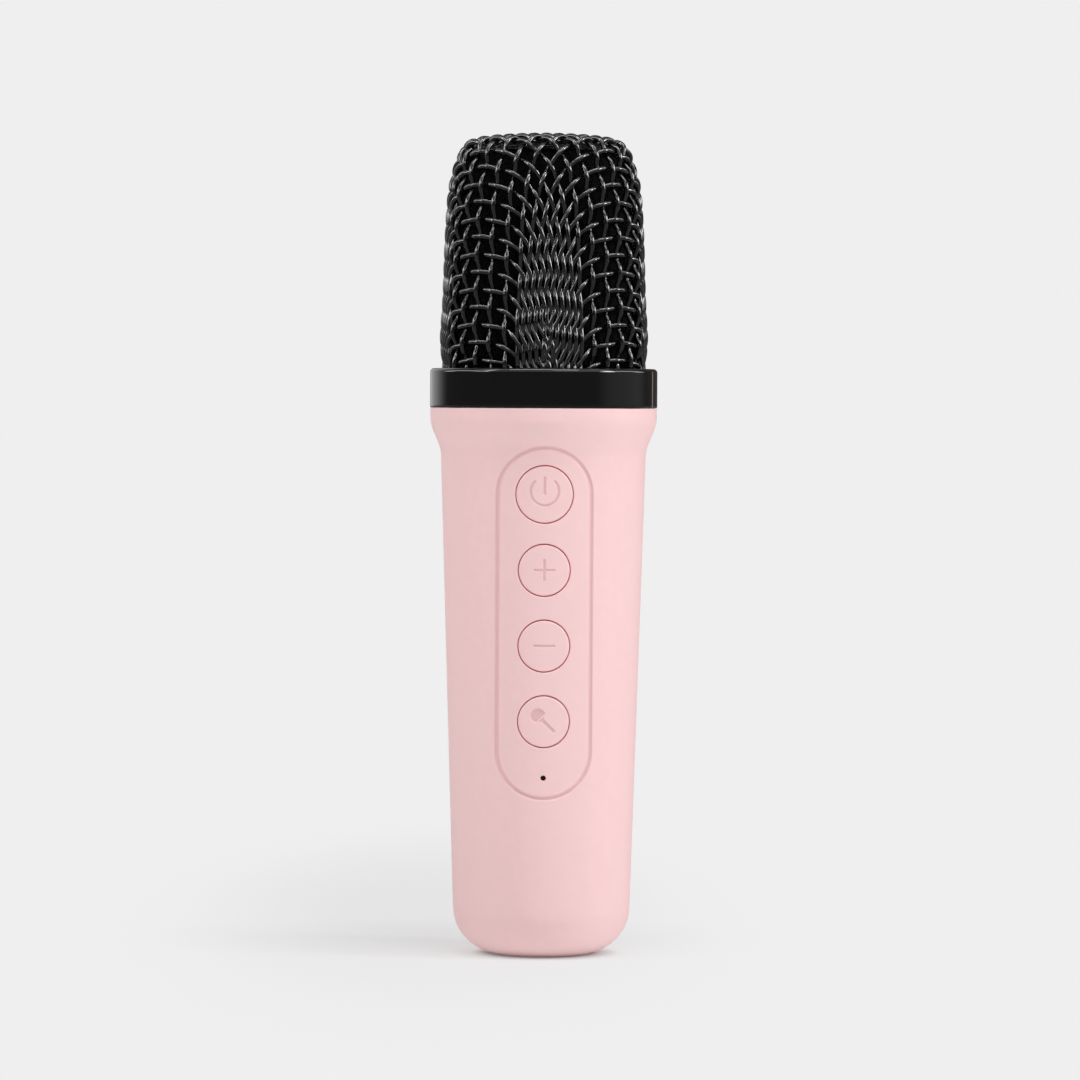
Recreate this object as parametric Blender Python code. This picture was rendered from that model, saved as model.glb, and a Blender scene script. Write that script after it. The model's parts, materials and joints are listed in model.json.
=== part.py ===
"""Cordless karaoke microphone: a wire-mesh head, a gloss collar and a one-piece tapered handle.

All sizes are millimetres; make_node() turns each finished mesh into metres. The origin is the centre
of the flat base, +Z runs up the handle's axis, and the buttons face -Y. Everything inside is carried
by a sled that slides into the handle from its open top.
"""

import math

import bmesh
import bpy
from mathutils import Matrix, Vector

MM = 0.001  # metres in a millimetre
GAP = 0.3  # clearance kept between neighbouring pieces
SIDES = 36  # facets of the large turned pieces
SMALL_SIDES = 24  # facets of the small turned pieces
SCREW_SIDES = 12

# Handle: a cone with a rounded base that flares out under the collar
HANDLE_TOP = 110.4
CONE_RADIUS_AT_BASE = 17.64
CONE_SLOPE = 0.0307
FLARE_LOW = 101.0
FLARE_HIGH = 108.2
FLARE_STEP = 1.94
BASE_ROUND = 9.5
WALL = 2.0
NECK_SEAT_LOW = 104.4
NECK_SEAT_RADIUS = 19.0
CONE_ANGLE = math.atan(CONE_SLOPE)

# Push buttons, top to bottom: name and hole radius
BUTTON_TOP_Z = 93.3
BUTTON_PITCH = 15.1
BUTTON_HOLES = [("power", 5.85), ("volume_up", 5.3), ("volume_down", 5.3), ("voice", 5.3)]
BUTTON_LIP = 0.75  # how far the retaining flange is wider than the hole
BUTTON_FLANGE = 0.9
BUTTON_EDGE = 0.35  # rounding of the cap's rim
BUTTON_STEM_RADIUS = 1.5

# Head: woven cup, its outline from the hem up to the crown's centre as (radius, height)
HEAD_OUTLINE = [
    (20.95, 113.9),
    (20.95, 118.9),
    (21.4, 124.3),
    (20.95, 132.4),
    (20.5, 145.0),
    (19.85, 153.0),
    (18.8, 158.3),
    (17.2, 162.8),
    (15.6, 164.4),
    (13.1, 165.2),
    (6.5, 165.8),
    (0.0, 166.0),
]
CLOTH_SHEET = 0.65  # the wire cloth's metal, spread as an even sheet
CROWN_DISC_RADIUS = 15.2
CROWN_DISC_THICK = 0.8
FOAM_THICK = 3.0
HEM_RING = (17.4, 18.3, 114.0, 118.0)  # inner radius, outer radius, bottom, top; clears the woven wires

# Collar
COLLAR_RADIUS = 23.0
COLLAR_LOW = HANDLE_TOP + GAP
COLLAR_TOP = 118.4
COLLAR_POCKET_RADIUS = 21.25
COLLAR_POCKET_LOW = 113.6
COLLAR_TOP_ROUND = 0.7
COLLAR_CHAMFER = 0.3

# Head plate: neck, floor with a cable hole, and the capsule's tower
NECK_RADIUS = NECK_SEAT_RADIUS - GAP
NECK_WALL = 1.5
NECK_LOW = 105.2
NECK_TOP = 113.3
PLATE_LOW = 108.0
PLATE_TOP = 110.0
CABLE_HOLE_RADIUS = 3.5
TOWER_RADIUS = 9.5
TOWER_WALL = 1.5
TOWER_TOP = 124.0

# Capsule, stacked upwards from the rubber boot
BOOT_RADIUS = 14.2
BOOT_LOW = TOWER_TOP + GAP
BOOT_FLOOR = 2.0
BOOT_TOP = 134.0
CAPSULE_RADIUS = 12.3
CAPSULE_LOW = BOOT_LOW + BOOT_FLOOR + GAP
CAPSULE_TOP = 142.0
CAPSULE_WALL = 1.0
VENT_RADIUS = 2.5
MAGNET_RADIUS = 8.0
COIL_RADIUS = 9.2
DIAPHRAGM_RADIUS = 10.8
DIAPHRAGM_THICK = 0.4
GRID_HOLE_RADIUS = 1.6
GRID_HOLE_CIRCLE = 6.5

# Sled: a U-shaped channel round the battery, with rails that face the main board
SLED_LOW = 10.0
SLED_TOP = 101.2
FLANGE_RADIUS = 18.2
FLANGE_TOP = 103.2
RAIL_OUTER_X = 12.4
RAIL_FRONT_Y = -5.3
RAIL_BEND_Y = 2.0
CHANNEL_CENTRE_Y = 4.2
CHANNEL_INNER = 9.6
CHANNEL_OUTER = 11.0
CHANNEL_STEPS = 16
FOOT_TOP = 13.0
SHELF = 1.6
POST_RADIUS = 2.1
POST_CIRCLE = 13.6
POST_ANGLES = (90.0, 210.0, 330.0)
POST_TOP = PLATE_LOW - GAP

# Bosses inside the handle for the sled's flange
BOSS_X = 16.0
BOSS_RADIUS = 2.9
BOSS_LOW = 92.0
BOSS_TOP = SLED_TOP - GAP

# Battery: a standard 18650 cell
CELL_RADIUS = 9.2
CELL_LENGTH = 65.2
CELL_LOW = 21.8
PAD_THICK = 2.5

# Main board
BOARD_HALF_WIDTH = 12.2
BOARD_BACK_Y = RAIL_FRONT_Y - GAP
BOARD_THICK = 1.6
BOARD_FRONT_Y = BOARD_BACK_Y - BOARD_THICK
BOARD_LOW = 27.0
BOARD_TOP = 97.5
PART_SEAT_Y = BOARD_FRONT_Y - GAP  # where parts on the board start

# Tactile switches
SWITCH_HALF = 3.0
SWITCH_HEIGHT = 3.5
SWITCH_WELL_RADIUS = 2.0
SWITCH_WELL_DEPTH = 2.2
PLUNGER_RADIUS = 1.7
PLUNGER_FRONT_Y = PART_SEAT_Y - SWITCH_HEIGHT - 0.6
PLUNGER_LENGTH = 2.0

# Parts on the main board's front: x, z, width, height, depth, finish
BOARD_PARTS = {
    "radio_chip": (7.3, 84.5, 5.0, 5.0, 0.9, "chip_black"),
    "crystal": (7.3, 79.6, 3.2, 2.5, 0.7, "steel"),
    "audio_chip": (-7.3, 70.6, 6.0, 6.0, 1.0, "chip_black"),
    "charge_chip": (7.3, 55.5, 5.0, 4.0, 1.4, "chip_black"),
    "power_inductor": (-7.3, 55.5, 4.4, 4.4, 2.2, "chip_black"),
    "antenna": (7.8, 95.4, 7.2, 2.0, 1.2, "connector_white"),
    "battery_connector": (0.0, 31.3, 7.0, 4.6, 4.0, "connector_white"),
    "capsule_connector": (-8.5, 92.7, 4.6, 4.5, 3.5, "connector_white"),
}
STATUS_LED_SIZE = (1.6, 1.0, 1.0)

# Status lamp
LAMP_Z = 36.7
LAMP_HOLE_RADIUS = 0.55
PIPE_RADIUS = 1.0
PIPE_FOOT_RADIUS = 2.4
PIPE_FOOT_HEIGHT = 2.1
PIPE_POCKET_RADIUS = 1.4
PIPE_POCKET_DEPTH = 1.4

# Charging inlet in the base: USB-C receptacle standing on its own board
USB_WIDTH = 8.94
USB_DEPTH = 3.26
USB_WALL = 0.3
USB_LOW = 0.6
USB_TOP = 7.8
USB_BOARD_LOW = USB_TOP + GAP
USB_BOARD_TOP = SLED_LOW - GAP
USB_BOARD_HALF = (8.0, 7.0)
USB_SCREW_Y = 5.2

# Screws: head radius, head height, shank radius
M2_SCREW = (1.8, 1.3, 1.0)
M17_SCREW = (1.5, 1.0, 0.8)
RECESS_ARM = 0.28  # half width of the cross recess

# Insulated wires: radius, and the points that each one runs through
POWER_LEAD_RADIUS = 0.6
SIGNAL_LEAD_RADIUS = 0.4
BATTERY_LEAD_X = 1.8
BATTERY_LEAD_ROUTE = [(-6.0, 23.8), (-7.5, 22.9), (-9.2, 24.6), (-9.5, 28.7)]  # y, z
USB_LEAD_ROUTE = [
    (-5.5, -6.4, 10.3),
    (-5.5, -6.5, 16.0),
    (-5.5, -6.9, 21.5),
    (-5.5, -8.3, 25.5),
    (-5.5, -8.5, 31.0),
]
CAPSULE_LEAD_SHIFT = 0.8  # the hot one runs this far to the left, the cold one to the right
CAPSULE_LEAD_ROUTE = [
    (0.0, 0.0, 125.6),
    (0.0, -0.3, 117.0),
    (0.0, -1.0, 109.0),
    (-1.5, -3.5, 104.0),
    (-5.0, -7.8, 100.3),
    (-8.3, -9.3, 97.8),
    (-8.5, -9.4, 95.4),
]

UPRIGHT = Matrix.Identity(4)
FACING_FRONT = Matrix.Rotation(math.radians(90.0), 4, "X")  # local +Z points to -Y
FACING_DOWN = Matrix.Rotation(math.radians(180.0), 4, "X")

# Finishes: sRGB colour, roughness, metallic
FINISHES = {
    "soft_touch_pink": ((240, 204, 204), 0.6, 0.0),
    "gloss_black": ((14, 14, 15), 0.12, 0.0),
    "wire_black": ((16, 16, 17), 0.25, 0.3),
    "foam_black": ((8, 8, 8), 0.95, 0.0),
    "rubber_black": ((24, 24, 24), 0.8, 0.0),
    "steel": ((190, 190, 192), 0.3, 1.0),
    "sled_grey": ((70, 70, 74), 0.6, 0.0),
    "board_green": ((24, 84, 54), 0.45, 0.0),
    "cell_blue": ((52, 92, 156), 0.35, 0.0),
    "copper": ((190, 120, 70), 0.35, 1.0),
    "film": ((205, 190, 150), 0.3, 0.0),
    "chip_black": ((28, 28, 30), 0.5, 0.0),
    "switch_black": ((34, 34, 36), 0.5, 0.0),
    "connector_white": ((228, 224, 212), 0.5, 0.0),
    "clear": ((232, 232, 232), 0.1, 0.0),
    "lead_red": ((176, 32, 32), 0.45, 0.0),
    "lead_black": ((22, 22, 22), 0.45, 0.0),
}


# ---------------------------------------------------------------- curves and outlines


def arc(centre, radius, start, end, steps):
    """Points on a circle from one angle to another, both in degrees and both included."""
    points = []
    for step in range(steps + 1):
        angle = math.radians(start + (end - start) * step / steps)
        points.append((centre[0] + radius * math.cos(angle), centre[1] + radius * math.sin(angle)))
    return points


def smooth_curve(points, steps):
    """A Catmull-Rom curve through the points, with this many steps from each to the next."""
    knots = [Vector(point) for point in points]
    knots = [2 * knots[0] - knots[1]] + knots + [2 * knots[-1] - knots[-2]]
    curve = []
    for a, b, c, d in zip(knots, knots[1:], knots[2:], knots[3:]):
        for step in range(steps):
            t = step / steps
            curve.append(
                0.5 * (2 * b + (c - a) * t + (2 * a - 5 * b + 4 * c - d) * t**2)
                + 0.5 * (3 * b - a - 3 * c + d) * t**3
            )
    curve.append(knots[-2])
    return curve


def offset_outline(outline, distance):
    """The head's outline moved inwards, square to itself; the crown's centre stays on the axis."""
    moved = []
    for index, point in enumerate(outline):
        before = outline[max(index - 1, 0)]
        after = outline[min(index + 1, len(outline) - 1)]
        along = (after - before).normalized()
        moved.append(Vector((point.x - along.y * distance, point.y + along.x * distance)))
    moved[-1] = Vector((0.0, outline[-1].y - distance))
    return moved


def cone_radius(z):
    return CONE_RADIUS_AT_BASE + CONE_SLOPE * z


def handle_radius(z):
    """Outer radius of the handle above its rounded base."""
    t = min(max((z - FLARE_LOW) / (FLARE_HIGH - FLARE_LOW), 0.0), 1.0)
    return cone_radius(z) + FLARE_STEP * t * t * (3 - 2 * t)


def base_flat_radius():
    """Radius of the flat base that lets the base's rounding run into the cone without a crease."""
    meeting_height = BASE_ROUND * (1 - math.sin(CONE_ANGLE))
    return cone_radius(meeting_height) - BASE_ROUND * math.cos(CONE_ANGLE)


def stadium(width, depth, steps=6):
    """A slot outline: width along X, depth along Y, with round ends."""
    radius = depth / 2
    right = arc((width / 2 - radius, 0.0), radius, -90, 90, steps)
    left = arc((radius - width / 2, 0.0), radius, 90, 270, steps)
    return right + left


# ---------------------------------------------------------------- solids


def join_rings(bm, lower, upper):
    """Faces between two rings of vertices; a ring of one vertex is a pole."""
    sides = max(len(lower), len(upper))
    for side in range(sides):
        corners = []
        for ring, steps in ((lower, (side, side + 1)), (upper, (side + 1, side))):
            if len(ring) == 1:
                corners.append(ring[0])
            else:
                corners.extend(ring[step % sides] for step in steps)
        bm.faces.new(corners)


def add_loft(bm, rings, closed=False, placed=UPRIGHT):
    """A solid through rings of points; a closed one joins its last ring to its first."""
    vertices = [[bm.verts.new(placed @ Vector(point)) for point in ring] for ring in rings]
    for lower, upper in zip(vertices, vertices[1:]):
        join_rings(bm, lower, upper)
    if closed:
        join_rings(bm, vertices[-1], vertices[0])


def add_turned(bm, outline, sides=SIDES, closed=False, placed=UPRIGHT):
    """A body of revolution about Z from (radius, height) points."""
    rings = []
    for radius, height in outline:
        if radius == 0.0:
            rings.append([(0.0, 0.0, height)])
        else:
            circle = arc((0.0, 0.0), radius, 0, 360, sides)[:-1]
            rings.append([(x, y, height) for x, y in circle])
    add_loft(bm, rings, closed, placed)


def add_tube(bm, inner, outer, low, high, sides=SIDES, placed=UPRIGHT):
    outline = [(outer, low), (outer, high), (inner, high), (inner, low)]
    add_turned(bm, outline, sides, closed=True, placed=placed)


def add_rod(bm, radius, low, high, sides=SMALL_SIDES, placed=UPRIGHT):
    add_turned(bm, [(0.0, low), (radius, low), (radius, high), (0.0, high)], sides, placed=placed)


def add_prism(bm, outline, low, high):
    """An outline in the XY plane, extruded from one height to another."""
    bottom = [bm.verts.new((x, y, low)) for x, y in outline]
    top = [bm.verts.new((x, y, high)) for x, y in outline]
    join_rings(bm, bottom, top)
    bm.faces.new(bottom)
    bm.faces.new(top)


def add_box(bm, low, high):
    corners = [(low[0], low[1]), (high[0], low[1]), (high[0], high[1]), (low[0], high[1])]
    add_prism(bm, corners, low[2], high[2])


# ---------------------------------------------------------------- objects


def linear(channel):
    """An sRGB channel from 0 to 255 as linear light from 0 to 1."""
    value = channel / 255
    return value / 12.92 if value <= 0.04045 else ((value + 0.055) / 1.055) ** 2.4


def make_material(name, finish):
    colour, roughness, metallic = FINISHES[finish]
    material = bpy.data.materials.new(name)
    material.use_nodes = True
    shader = material.node_tree.nodes["Principled BSDF"]
    shader.inputs["Base Color"].default_value = (*map(linear, colour), 1.0)
    shader.inputs["Roughness"].default_value = roughness
    shader.inputs["Metallic"].default_value = metallic
    return material


def mesh_object(name, bm, origin):
    """An object of this mesh in metres, placed at its origin."""
    bmesh.ops.recalc_face_normals(bm, faces=bm.faces)
    bmesh.ops.translate(bm, verts=bm.verts, vec=-Vector(origin))
    bmesh.ops.scale(bm, verts=bm.verts, vec=(MM, MM, MM))
    mesh = bpy.data.meshes.new(name)
    bm.to_mesh(mesh)
    bm.free()
    thing = bpy.data.objects.new(name, mesh)
    thing.location = Vector(origin) * MM
    bpy.context.collection.objects.link(thing)
    return thing


def make_node(name, bm, finish, origin=(0.0, 0.0, 0.0)):
    """One piece of the microphone, shaded smooth except across its sharp edges."""
    thing = mesh_object(name, bm, origin)
    thing.data.shade_smooth()
    thing.data.set_sharp_from_angle(angle=math.radians(30.0))
    thing.data.materials.append(make_material(name + "_finish", finish))
    return thing


def reshape(thing, operation, bm, label):
    """Cuts or joins a tool to a piece with an exact Boolean; the tool is not a piece itself."""
    tool = mesh_object(f"{thing.name}_{label}", bm, (0.0, 0.0, 0.0))
    tool.hide_render = True
    tool.display_type = "WIRE"
    modifier = thing.modifiers.new(label, "BOOLEAN")
    modifier.operation = operation
    modifier.solver = "EXACT"
    modifier.object = tool


def make_lead(name, route, radius, finish):
    """A short insulated wire along a smooth curve through its route."""
    points = smooth_curve(route, 3)
    curve = bpy.data.curves.new(name, "CURVE")
    curve.dimensions = "3D"
    curve.bevel_depth = radius * MM
    curve.bevel_resolution = 2
    curve.use_fill_caps = True
    spline = curve.splines.new("POLY")
    spline.points.add(len(points) - 1)
    for target, point in zip(spline.points, points):
        target.co = (*(point * MM), 1.0)
    curve.materials.append(make_material(name + "_finish", finish))
    thing = bpy.data.objects.new(name, curve)
    bpy.context.collection.objects.link(thing)


# ---------------------------------------------------------------- screws


def screw_places():
    """Every screw as name: (seat under its head, direction its head points, size, shank length)."""
    places = {
        "chassis_screw_left": ((-BOSS_X, 0.0, FLANGE_TOP + GAP), UPRIGHT, M2_SCREW, 6.0),
        "chassis_screw_right": ((BOSS_X, 0.0, FLANGE_TOP + GAP), UPRIGHT, M2_SCREW, 6.0),
        "board_screw_top": ((11.0, PART_SEAT_Y, 90.5), FACING_FRONT, M17_SCREW, 5.0),
        "board_screw_bottom": ((-11.0, PART_SEAT_Y, 33.0), FACING_FRONT, M17_SCREW, 5.0),
        "usb_screw_front": ((0.0, -USB_SCREW_Y, USB_BOARD_LOW - GAP), FACING_DOWN, M17_SCREW, 4.0),
        "usb_screw_back": ((0.0, USB_SCREW_Y, USB_BOARD_LOW - GAP), FACING_DOWN, M17_SCREW, 4.0),
    }
    for number, angle in enumerate(POST_ANGLES, start=1):
        x, y = arc((0.0, 0.0), POST_CIRCLE, angle, angle, 1)[0]
        places[f"head_screw_{number}"] = ((x, y, PLATE_TOP + GAP), UPRIGHT, M2_SCREW, 5.5)
    return places


def add_screw_holes(bm, prefix):
    """Clearance holes, for cutting, for each screw whose name starts like this."""
    for name, (seat, turned, size, length) in screw_places().items():
        if name.startswith(prefix):
            placed = Matrix.Translation(seat) @ turned
            add_rod(bm, size[2] + GAP, -length - GAP, 1.0, SCREW_SIDES, placed)


def make_screw(name, seat, turned, size, length):
    """A pan-head screw with a cross recess."""
    head_radius, head_height, shank_radius = size
    placed = Matrix.Translation(seat) @ turned
    outline = [
        (0.0, head_height),
        (head_radius * 0.75, head_height),
        (head_radius, head_height * 0.5),
        (head_radius, 0.0),
        (shank_radius, 0.0),
        (shank_radius, shank_radius - length),
        (0.0, -length),
    ]
    bm = bmesh.new()
    add_turned(bm, outline, SCREW_SIDES, placed=placed)
    screw = make_node(name, bm, "steel", seat)
    reach = head_radius * 0.65
    arm = RECESS_ARM
    cross = [(reach, -arm), (reach, arm), (arm, arm), (arm, reach), (-arm, reach), (-arm, arm)]
    cross += [(-x, -y) for x, y in cross]
    recess = bmesh.new()
    add_prism(recess, cross, head_height * 0.4, head_height + 1.0)
    bmesh.ops.transform(recess, matrix=placed, verts=recess.verts)
    reshape(screw, "DIFFERENCE", recess, "recess")


# ---------------------------------------------------------------- head and collar


def make_grille():
    outline = smooth_curve(HEAD_OUTLINE, 2)
    bm = bmesh.new()
    add_turned(bm, [*reversed(outline), *offset_outline(outline, CLOTH_SHEET)])
    make_node("grille_mesh", bm, "wire_black")


def make_crown_disc():
    outline = smooth_curve(HEAD_OUTLINE, 1)
    top = offset_outline(outline, CLOTH_SHEET + GAP)
    under = offset_outline(outline, CLOTH_SHEET + GAP + CROWN_DISC_THICK)
    upper_face = [point for point in top if point.x <= CROWN_DISC_RADIUS]
    under_face = [point for point in under if point.x <= CROWN_DISC_RADIUS]
    bm = bmesh.new()
    add_turned(bm, [*reversed(upper_face), *under_face], SMALL_SIDES)
    make_node("crown_disc", bm, "gloss_black")


def make_foam():
    outline = smooth_curve(HEAD_OUTLINE, 1)
    outside = CLOTH_SHEET + GAP + CROWN_DISC_THICK + GAP
    bottom = HEM_RING[3] + GAP
    faces = []
    for distance in (outside, outside + FOAM_THICK):
        face = [point for point in offset_outline(outline, distance) if point.y > bottom + 1.0]
        faces.append([Vector((face[0].x, bottom)), *face])
    bm = bmesh.new()
    add_turned(bm, [*reversed(faces[0]), *faces[1]], SMALL_SIDES)
    make_node("foam_windscreen", bm, "foam_black")


def make_hem_ring():
    bm = bmesh.new()
    add_tube(bm, *HEM_RING)
    make_node("grille_hem_ring", bm, "steel")


def make_collar():
    round_centre = (COLLAR_RADIUS - COLLAR_TOP_ROUND, COLLAR_TOP - COLLAR_TOP_ROUND)
    outline = [
        (NECK_SEAT_RADIUS, COLLAR_LOW),
        (COLLAR_RADIUS - COLLAR_CHAMFER, COLLAR_LOW),
        (COLLAR_RADIUS, COLLAR_LOW + COLLAR_CHAMFER),
        *arc(round_centre, COLLAR_TOP_ROUND, 0, 90, 4),
        (COLLAR_POCKET_RADIUS, COLLAR_TOP),
        (COLLAR_POCKET_RADIUS, COLLAR_POCKET_LOW),
        (NECK_SEAT_RADIUS, COLLAR_POCKET_LOW),
    ]
    bm = bmesh.new()
    add_turned(bm, outline, closed=True)
    make_node("collar_ring", bm, "gloss_black")


def make_head_plate():
    inner = NECK_RADIUS - NECK_WALL
    outline = [
        (CABLE_HOLE_RADIUS, PLATE_LOW),
        (inner, PLATE_LOW),
        (inner, NECK_LOW),
        (NECK_RADIUS, NECK_LOW),
        (NECK_RADIUS, NECK_TOP),
        (inner, NECK_TOP),
        (inner, PLATE_TOP),
        (TOWER_RADIUS, PLATE_TOP),
        (TOWER_RADIUS, TOWER_TOP),
        (TOWER_RADIUS - TOWER_WALL, TOWER_TOP),
        (TOWER_RADIUS - TOWER_WALL, PLATE_TOP),
        (CABLE_HOLE_RADIUS, PLATE_TOP),
    ]
    bm = bmesh.new()
    add_turned(bm, outline, closed=True)
    plate = make_node("head_plate", bm, "sled_grey")
    holes = bmesh.new()
    add_screw_holes(holes, "head_screw")
    reshape(plate, "DIFFERENCE", holes, "screw_holes")


# ---------------------------------------------------------------- capsule


def make_cup(name, radius, wall, floor, low, top, hole_radius, finish):
    """A round cup, open upwards, with a hole in its floor."""
    outline = [
        (hole_radius, low),
        (radius, low),
        (radius, top),
        (radius - wall, top),
        (radius - wall, low + floor),
        (hole_radius, low + floor),
    ]
    bm = bmesh.new()
    add_turned(bm, outline, SMALL_SIDES, closed=True)
    make_node(name, bm, finish)


def make_capsule():
    boot_wall = BOOT_RADIUS - CAPSULE_RADIUS - GAP
    boot = (BOOT_RADIUS, boot_wall, BOOT_FLOOR, BOOT_LOW, BOOT_TOP, CABLE_HOLE_RADIUS)
    make_cup("capsule_boot", *boot, "rubber_black")
    basket = (CAPSULE_RADIUS, CAPSULE_WALL, CAPSULE_WALL, CAPSULE_LOW, CAPSULE_TOP, VENT_RADIUS)
    make_cup("capsule_basket", *basket, "steel")
    diaphragm_rim = CAPSULE_TOP - 2.5
    magnet = bmesh.new()
    add_rod(magnet, MAGNET_RADIUS, CAPSULE_LOW + 2 * CAPSULE_WALL, diaphragm_rim - 3.0)
    make_node("capsule_magnet", magnet, "steel")
    coil = bmesh.new()
    coil_size = (MAGNET_RADIUS + 0.6, COIL_RADIUS, diaphragm_rim - 5.0, diaphragm_rim - 0.5)
    add_tube(coil, *coil_size, SMALL_SIDES)
    make_node("capsule_voice_coil", coil, "copper")
    dome = [(0.0, 1.1), (0.45, 0.8), (0.83, 0.0), (1.0, 0.0)]  # share of the radius, rise in mm
    under = [(share * DIAPHRAGM_RADIUS, diaphragm_rim + rise) for share, rise in dome]
    upper = [(radius, height + DIAPHRAGM_THICK) for radius, height in under]
    diaphragm = bmesh.new()
    add_turned(diaphragm, [*under, *reversed(upper)], SMALL_SIDES)
    make_node("capsule_diaphragm", diaphragm, "film")
    make_capsule_grid()


def make_capsule_grid():
    low = CAPSULE_TOP + GAP
    bm = bmesh.new()
    add_rod(bm, CAPSULE_RADIUS, low, low + 1.2)
    grid = make_node("capsule_front_grid", bm, "steel")
    holes = bmesh.new()
    add_rod(holes, GRID_HOLE_RADIUS, low - 1.0, low + 2.0, 12)
    for x, y in arc((0.0, 0.0), GRID_HOLE_CIRCLE, 0, 300, 5):
        add_rod(holes, GRID_HOLE_RADIUS, low - 1.0, low + 2.0, 12, Matrix.Translation((x, y, 0.0)))
    reshape(grid, "DIFFERENCE", holes, "holes")


# ---------------------------------------------------------------- handle


def handle_outline():
    """The cup's section, from the centre of the base outside round to the floor's centre inside."""
    flat = base_flat_radius()
    to_cone = -math.degrees(CONE_ANGLE)
    centre = (flat, BASE_ROUND)
    flare = [FLARE_LOW + (FLARE_HIGH - FLARE_LOW) * step / 6 for step in range(7)]
    outside = [(0.0, 0.0), *arc(centre, BASE_ROUND, -90, to_cone, 8)]
    outside += [(handle_radius(z), z) for z in (*flare, HANDLE_TOP)]
    inside = [(0.0, WALL), *arc(centre, BASE_ROUND - WALL, -90, to_cone, 6)]
    inside += [
        (cone_radius(NECK_SEAT_LOW) - WALL, NECK_SEAT_LOW),
        (NECK_SEAT_RADIUS, NECK_SEAT_LOW),
        (NECK_SEAT_RADIUS, HANDLE_TOP),
    ]
    return [*outside, *reversed(inside)]


def button_heights():
    """Each button's name, centre height and hole radius."""
    for index, (name, hole_radius) in enumerate(BUTTON_HOLES):
        yield name, BUTTON_TOP_Z - BUTTON_PITCH * index, hole_radius


def make_handle():
    bm = bmesh.new()
    add_turned(bm, handle_outline())
    handle = make_node("handle_shell", bm, "soft_touch_pink")
    bosses = bmesh.new()
    for x in (-BOSS_X, BOSS_X):
        add_rod(bosses, BOSS_RADIUS, BOSS_LOW, BOSS_TOP, 16, Matrix.Translation((x, 0.0, 0.0)))
    reshape(handle, "UNION", bosses, "bosses")
    holes = bmesh.new()
    add_screw_holes(holes, "chassis_screw")
    for _name, height, hole_radius in button_heights():
        placed = Matrix.Translation((0.0, 0.0, height)) @ FACING_FRONT
        add_rod(holes, hole_radius, NECK_SEAT_RADIUS - 5.0, COLLAR_RADIUS, 32, placed)
    lamp = Matrix.Translation((0.0, 0.0, LAMP_Z)) @ FACING_FRONT
    add_rod(holes, LAMP_HOLE_RADIUS, NECK_SEAT_RADIUS - 5.0, COLLAR_RADIUS, 12, lamp)
    slot = stadium(USB_WIDTH + 2 * GAP + 0.1, USB_DEPTH + 2 * GAP + 0.1)
    add_prism(holes, slot, -1.0, WALL + 1.0)
    reshape(handle, "DIFFERENCE", holes, "holes")


# ---------------------------------------------------------------- buttons and switches


def make_button(name, height, hole_radius):
    """A cap that follows the handle's surface, its flange behind the wall, and its stem."""
    cap = hole_radius - GAP
    flange = hole_radius + BUTTON_LIP
    wall_radius = cone_radius(height - flange) - WALL
    flange_y = GAP - math.sqrt(wall_radius**2 - flange**2)
    stem_y = flange_y + BUTTON_FLANGE

    def surface_y(x, z):
        return -math.sqrt(handle_radius(z) ** 2 - x**2)

    rings = [[(0.0, surface_y(0.0, height), height)]]
    rim = (
        (0.5 * cap, 0.0),
        (cap - BUTTON_EDGE, 0.0),
        (cap - 0.3 * BUTTON_EDGE, 0.3 * BUTTON_EDGE),
        (cap, BUTTON_EDGE),
    )
    for radius, sunk in rim:
        circle = arc((0.0, height), radius, 0, 360, SMALL_SIDES)[:-1]
        rings.append([(x, surface_y(x, z) + sunk, z) for x, z in circle])
    behind = (
        (cap, flange_y),
        (flange, flange_y),
        (flange, stem_y),
        (BUTTON_STEM_RADIUS, stem_y),
        (BUTTON_STEM_RADIUS, PLUNGER_FRONT_Y - GAP),
    )
    for radius, y in behind:
        circle = arc((0.0, height), radius, 0, 360, SMALL_SIDES)[:-1]
        rings.append([(x, y, z) for x, z in circle])
    rings.append([(0.0, PLUNGER_FRONT_Y - GAP, height)])
    bm = bmesh.new()
    add_loft(bm, rings)
    return make_node("button_" + name, bm, "soft_touch_pink", (0.0, -handle_radius(height), height))


def make_plunger(name, height, button):
    """The switch's plunger, which moves with its button."""
    origin = Vector((0.0, PLUNGER_FRONT_Y, height))
    placed = Matrix.Translation(origin) @ FACING_FRONT
    bm = bmesh.new()
    add_rod(bm, PLUNGER_RADIUS, -PLUNGER_LENGTH, 0.0, 16, placed)
    plunger = make_node("plunger_" + name, bm, "connector_white", origin)
    plunger.parent = button
    plunger.location = origin * MM - button.location


def make_switch(name, height):
    front_y = PART_SEAT_Y - SWITCH_HEIGHT
    bm = bmesh.new()
    low = (-SWITCH_HALF, front_y, height - SWITCH_HALF)
    high = (SWITCH_HALF, PART_SEAT_Y, height + SWITCH_HALF)
    add_box(bm, low, high)
    switch = make_node("switch_" + name, bm, "switch_black")
    well = bmesh.new()
    placed = Matrix.Translation((0.0, front_y, height)) @ FACING_FRONT
    add_rod(well, SWITCH_WELL_RADIUS, -SWITCH_WELL_DEPTH, 1.0, 16, placed)
    reshape(switch, "DIFFERENCE", well, "well")


def make_buttons():
    for name, height, hole_radius in button_heights():
        button = make_button(name, height, hole_radius)
        make_plunger(name, height, button)
        make_switch(name, height)


# ---------------------------------------------------------------- sled and battery


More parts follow.
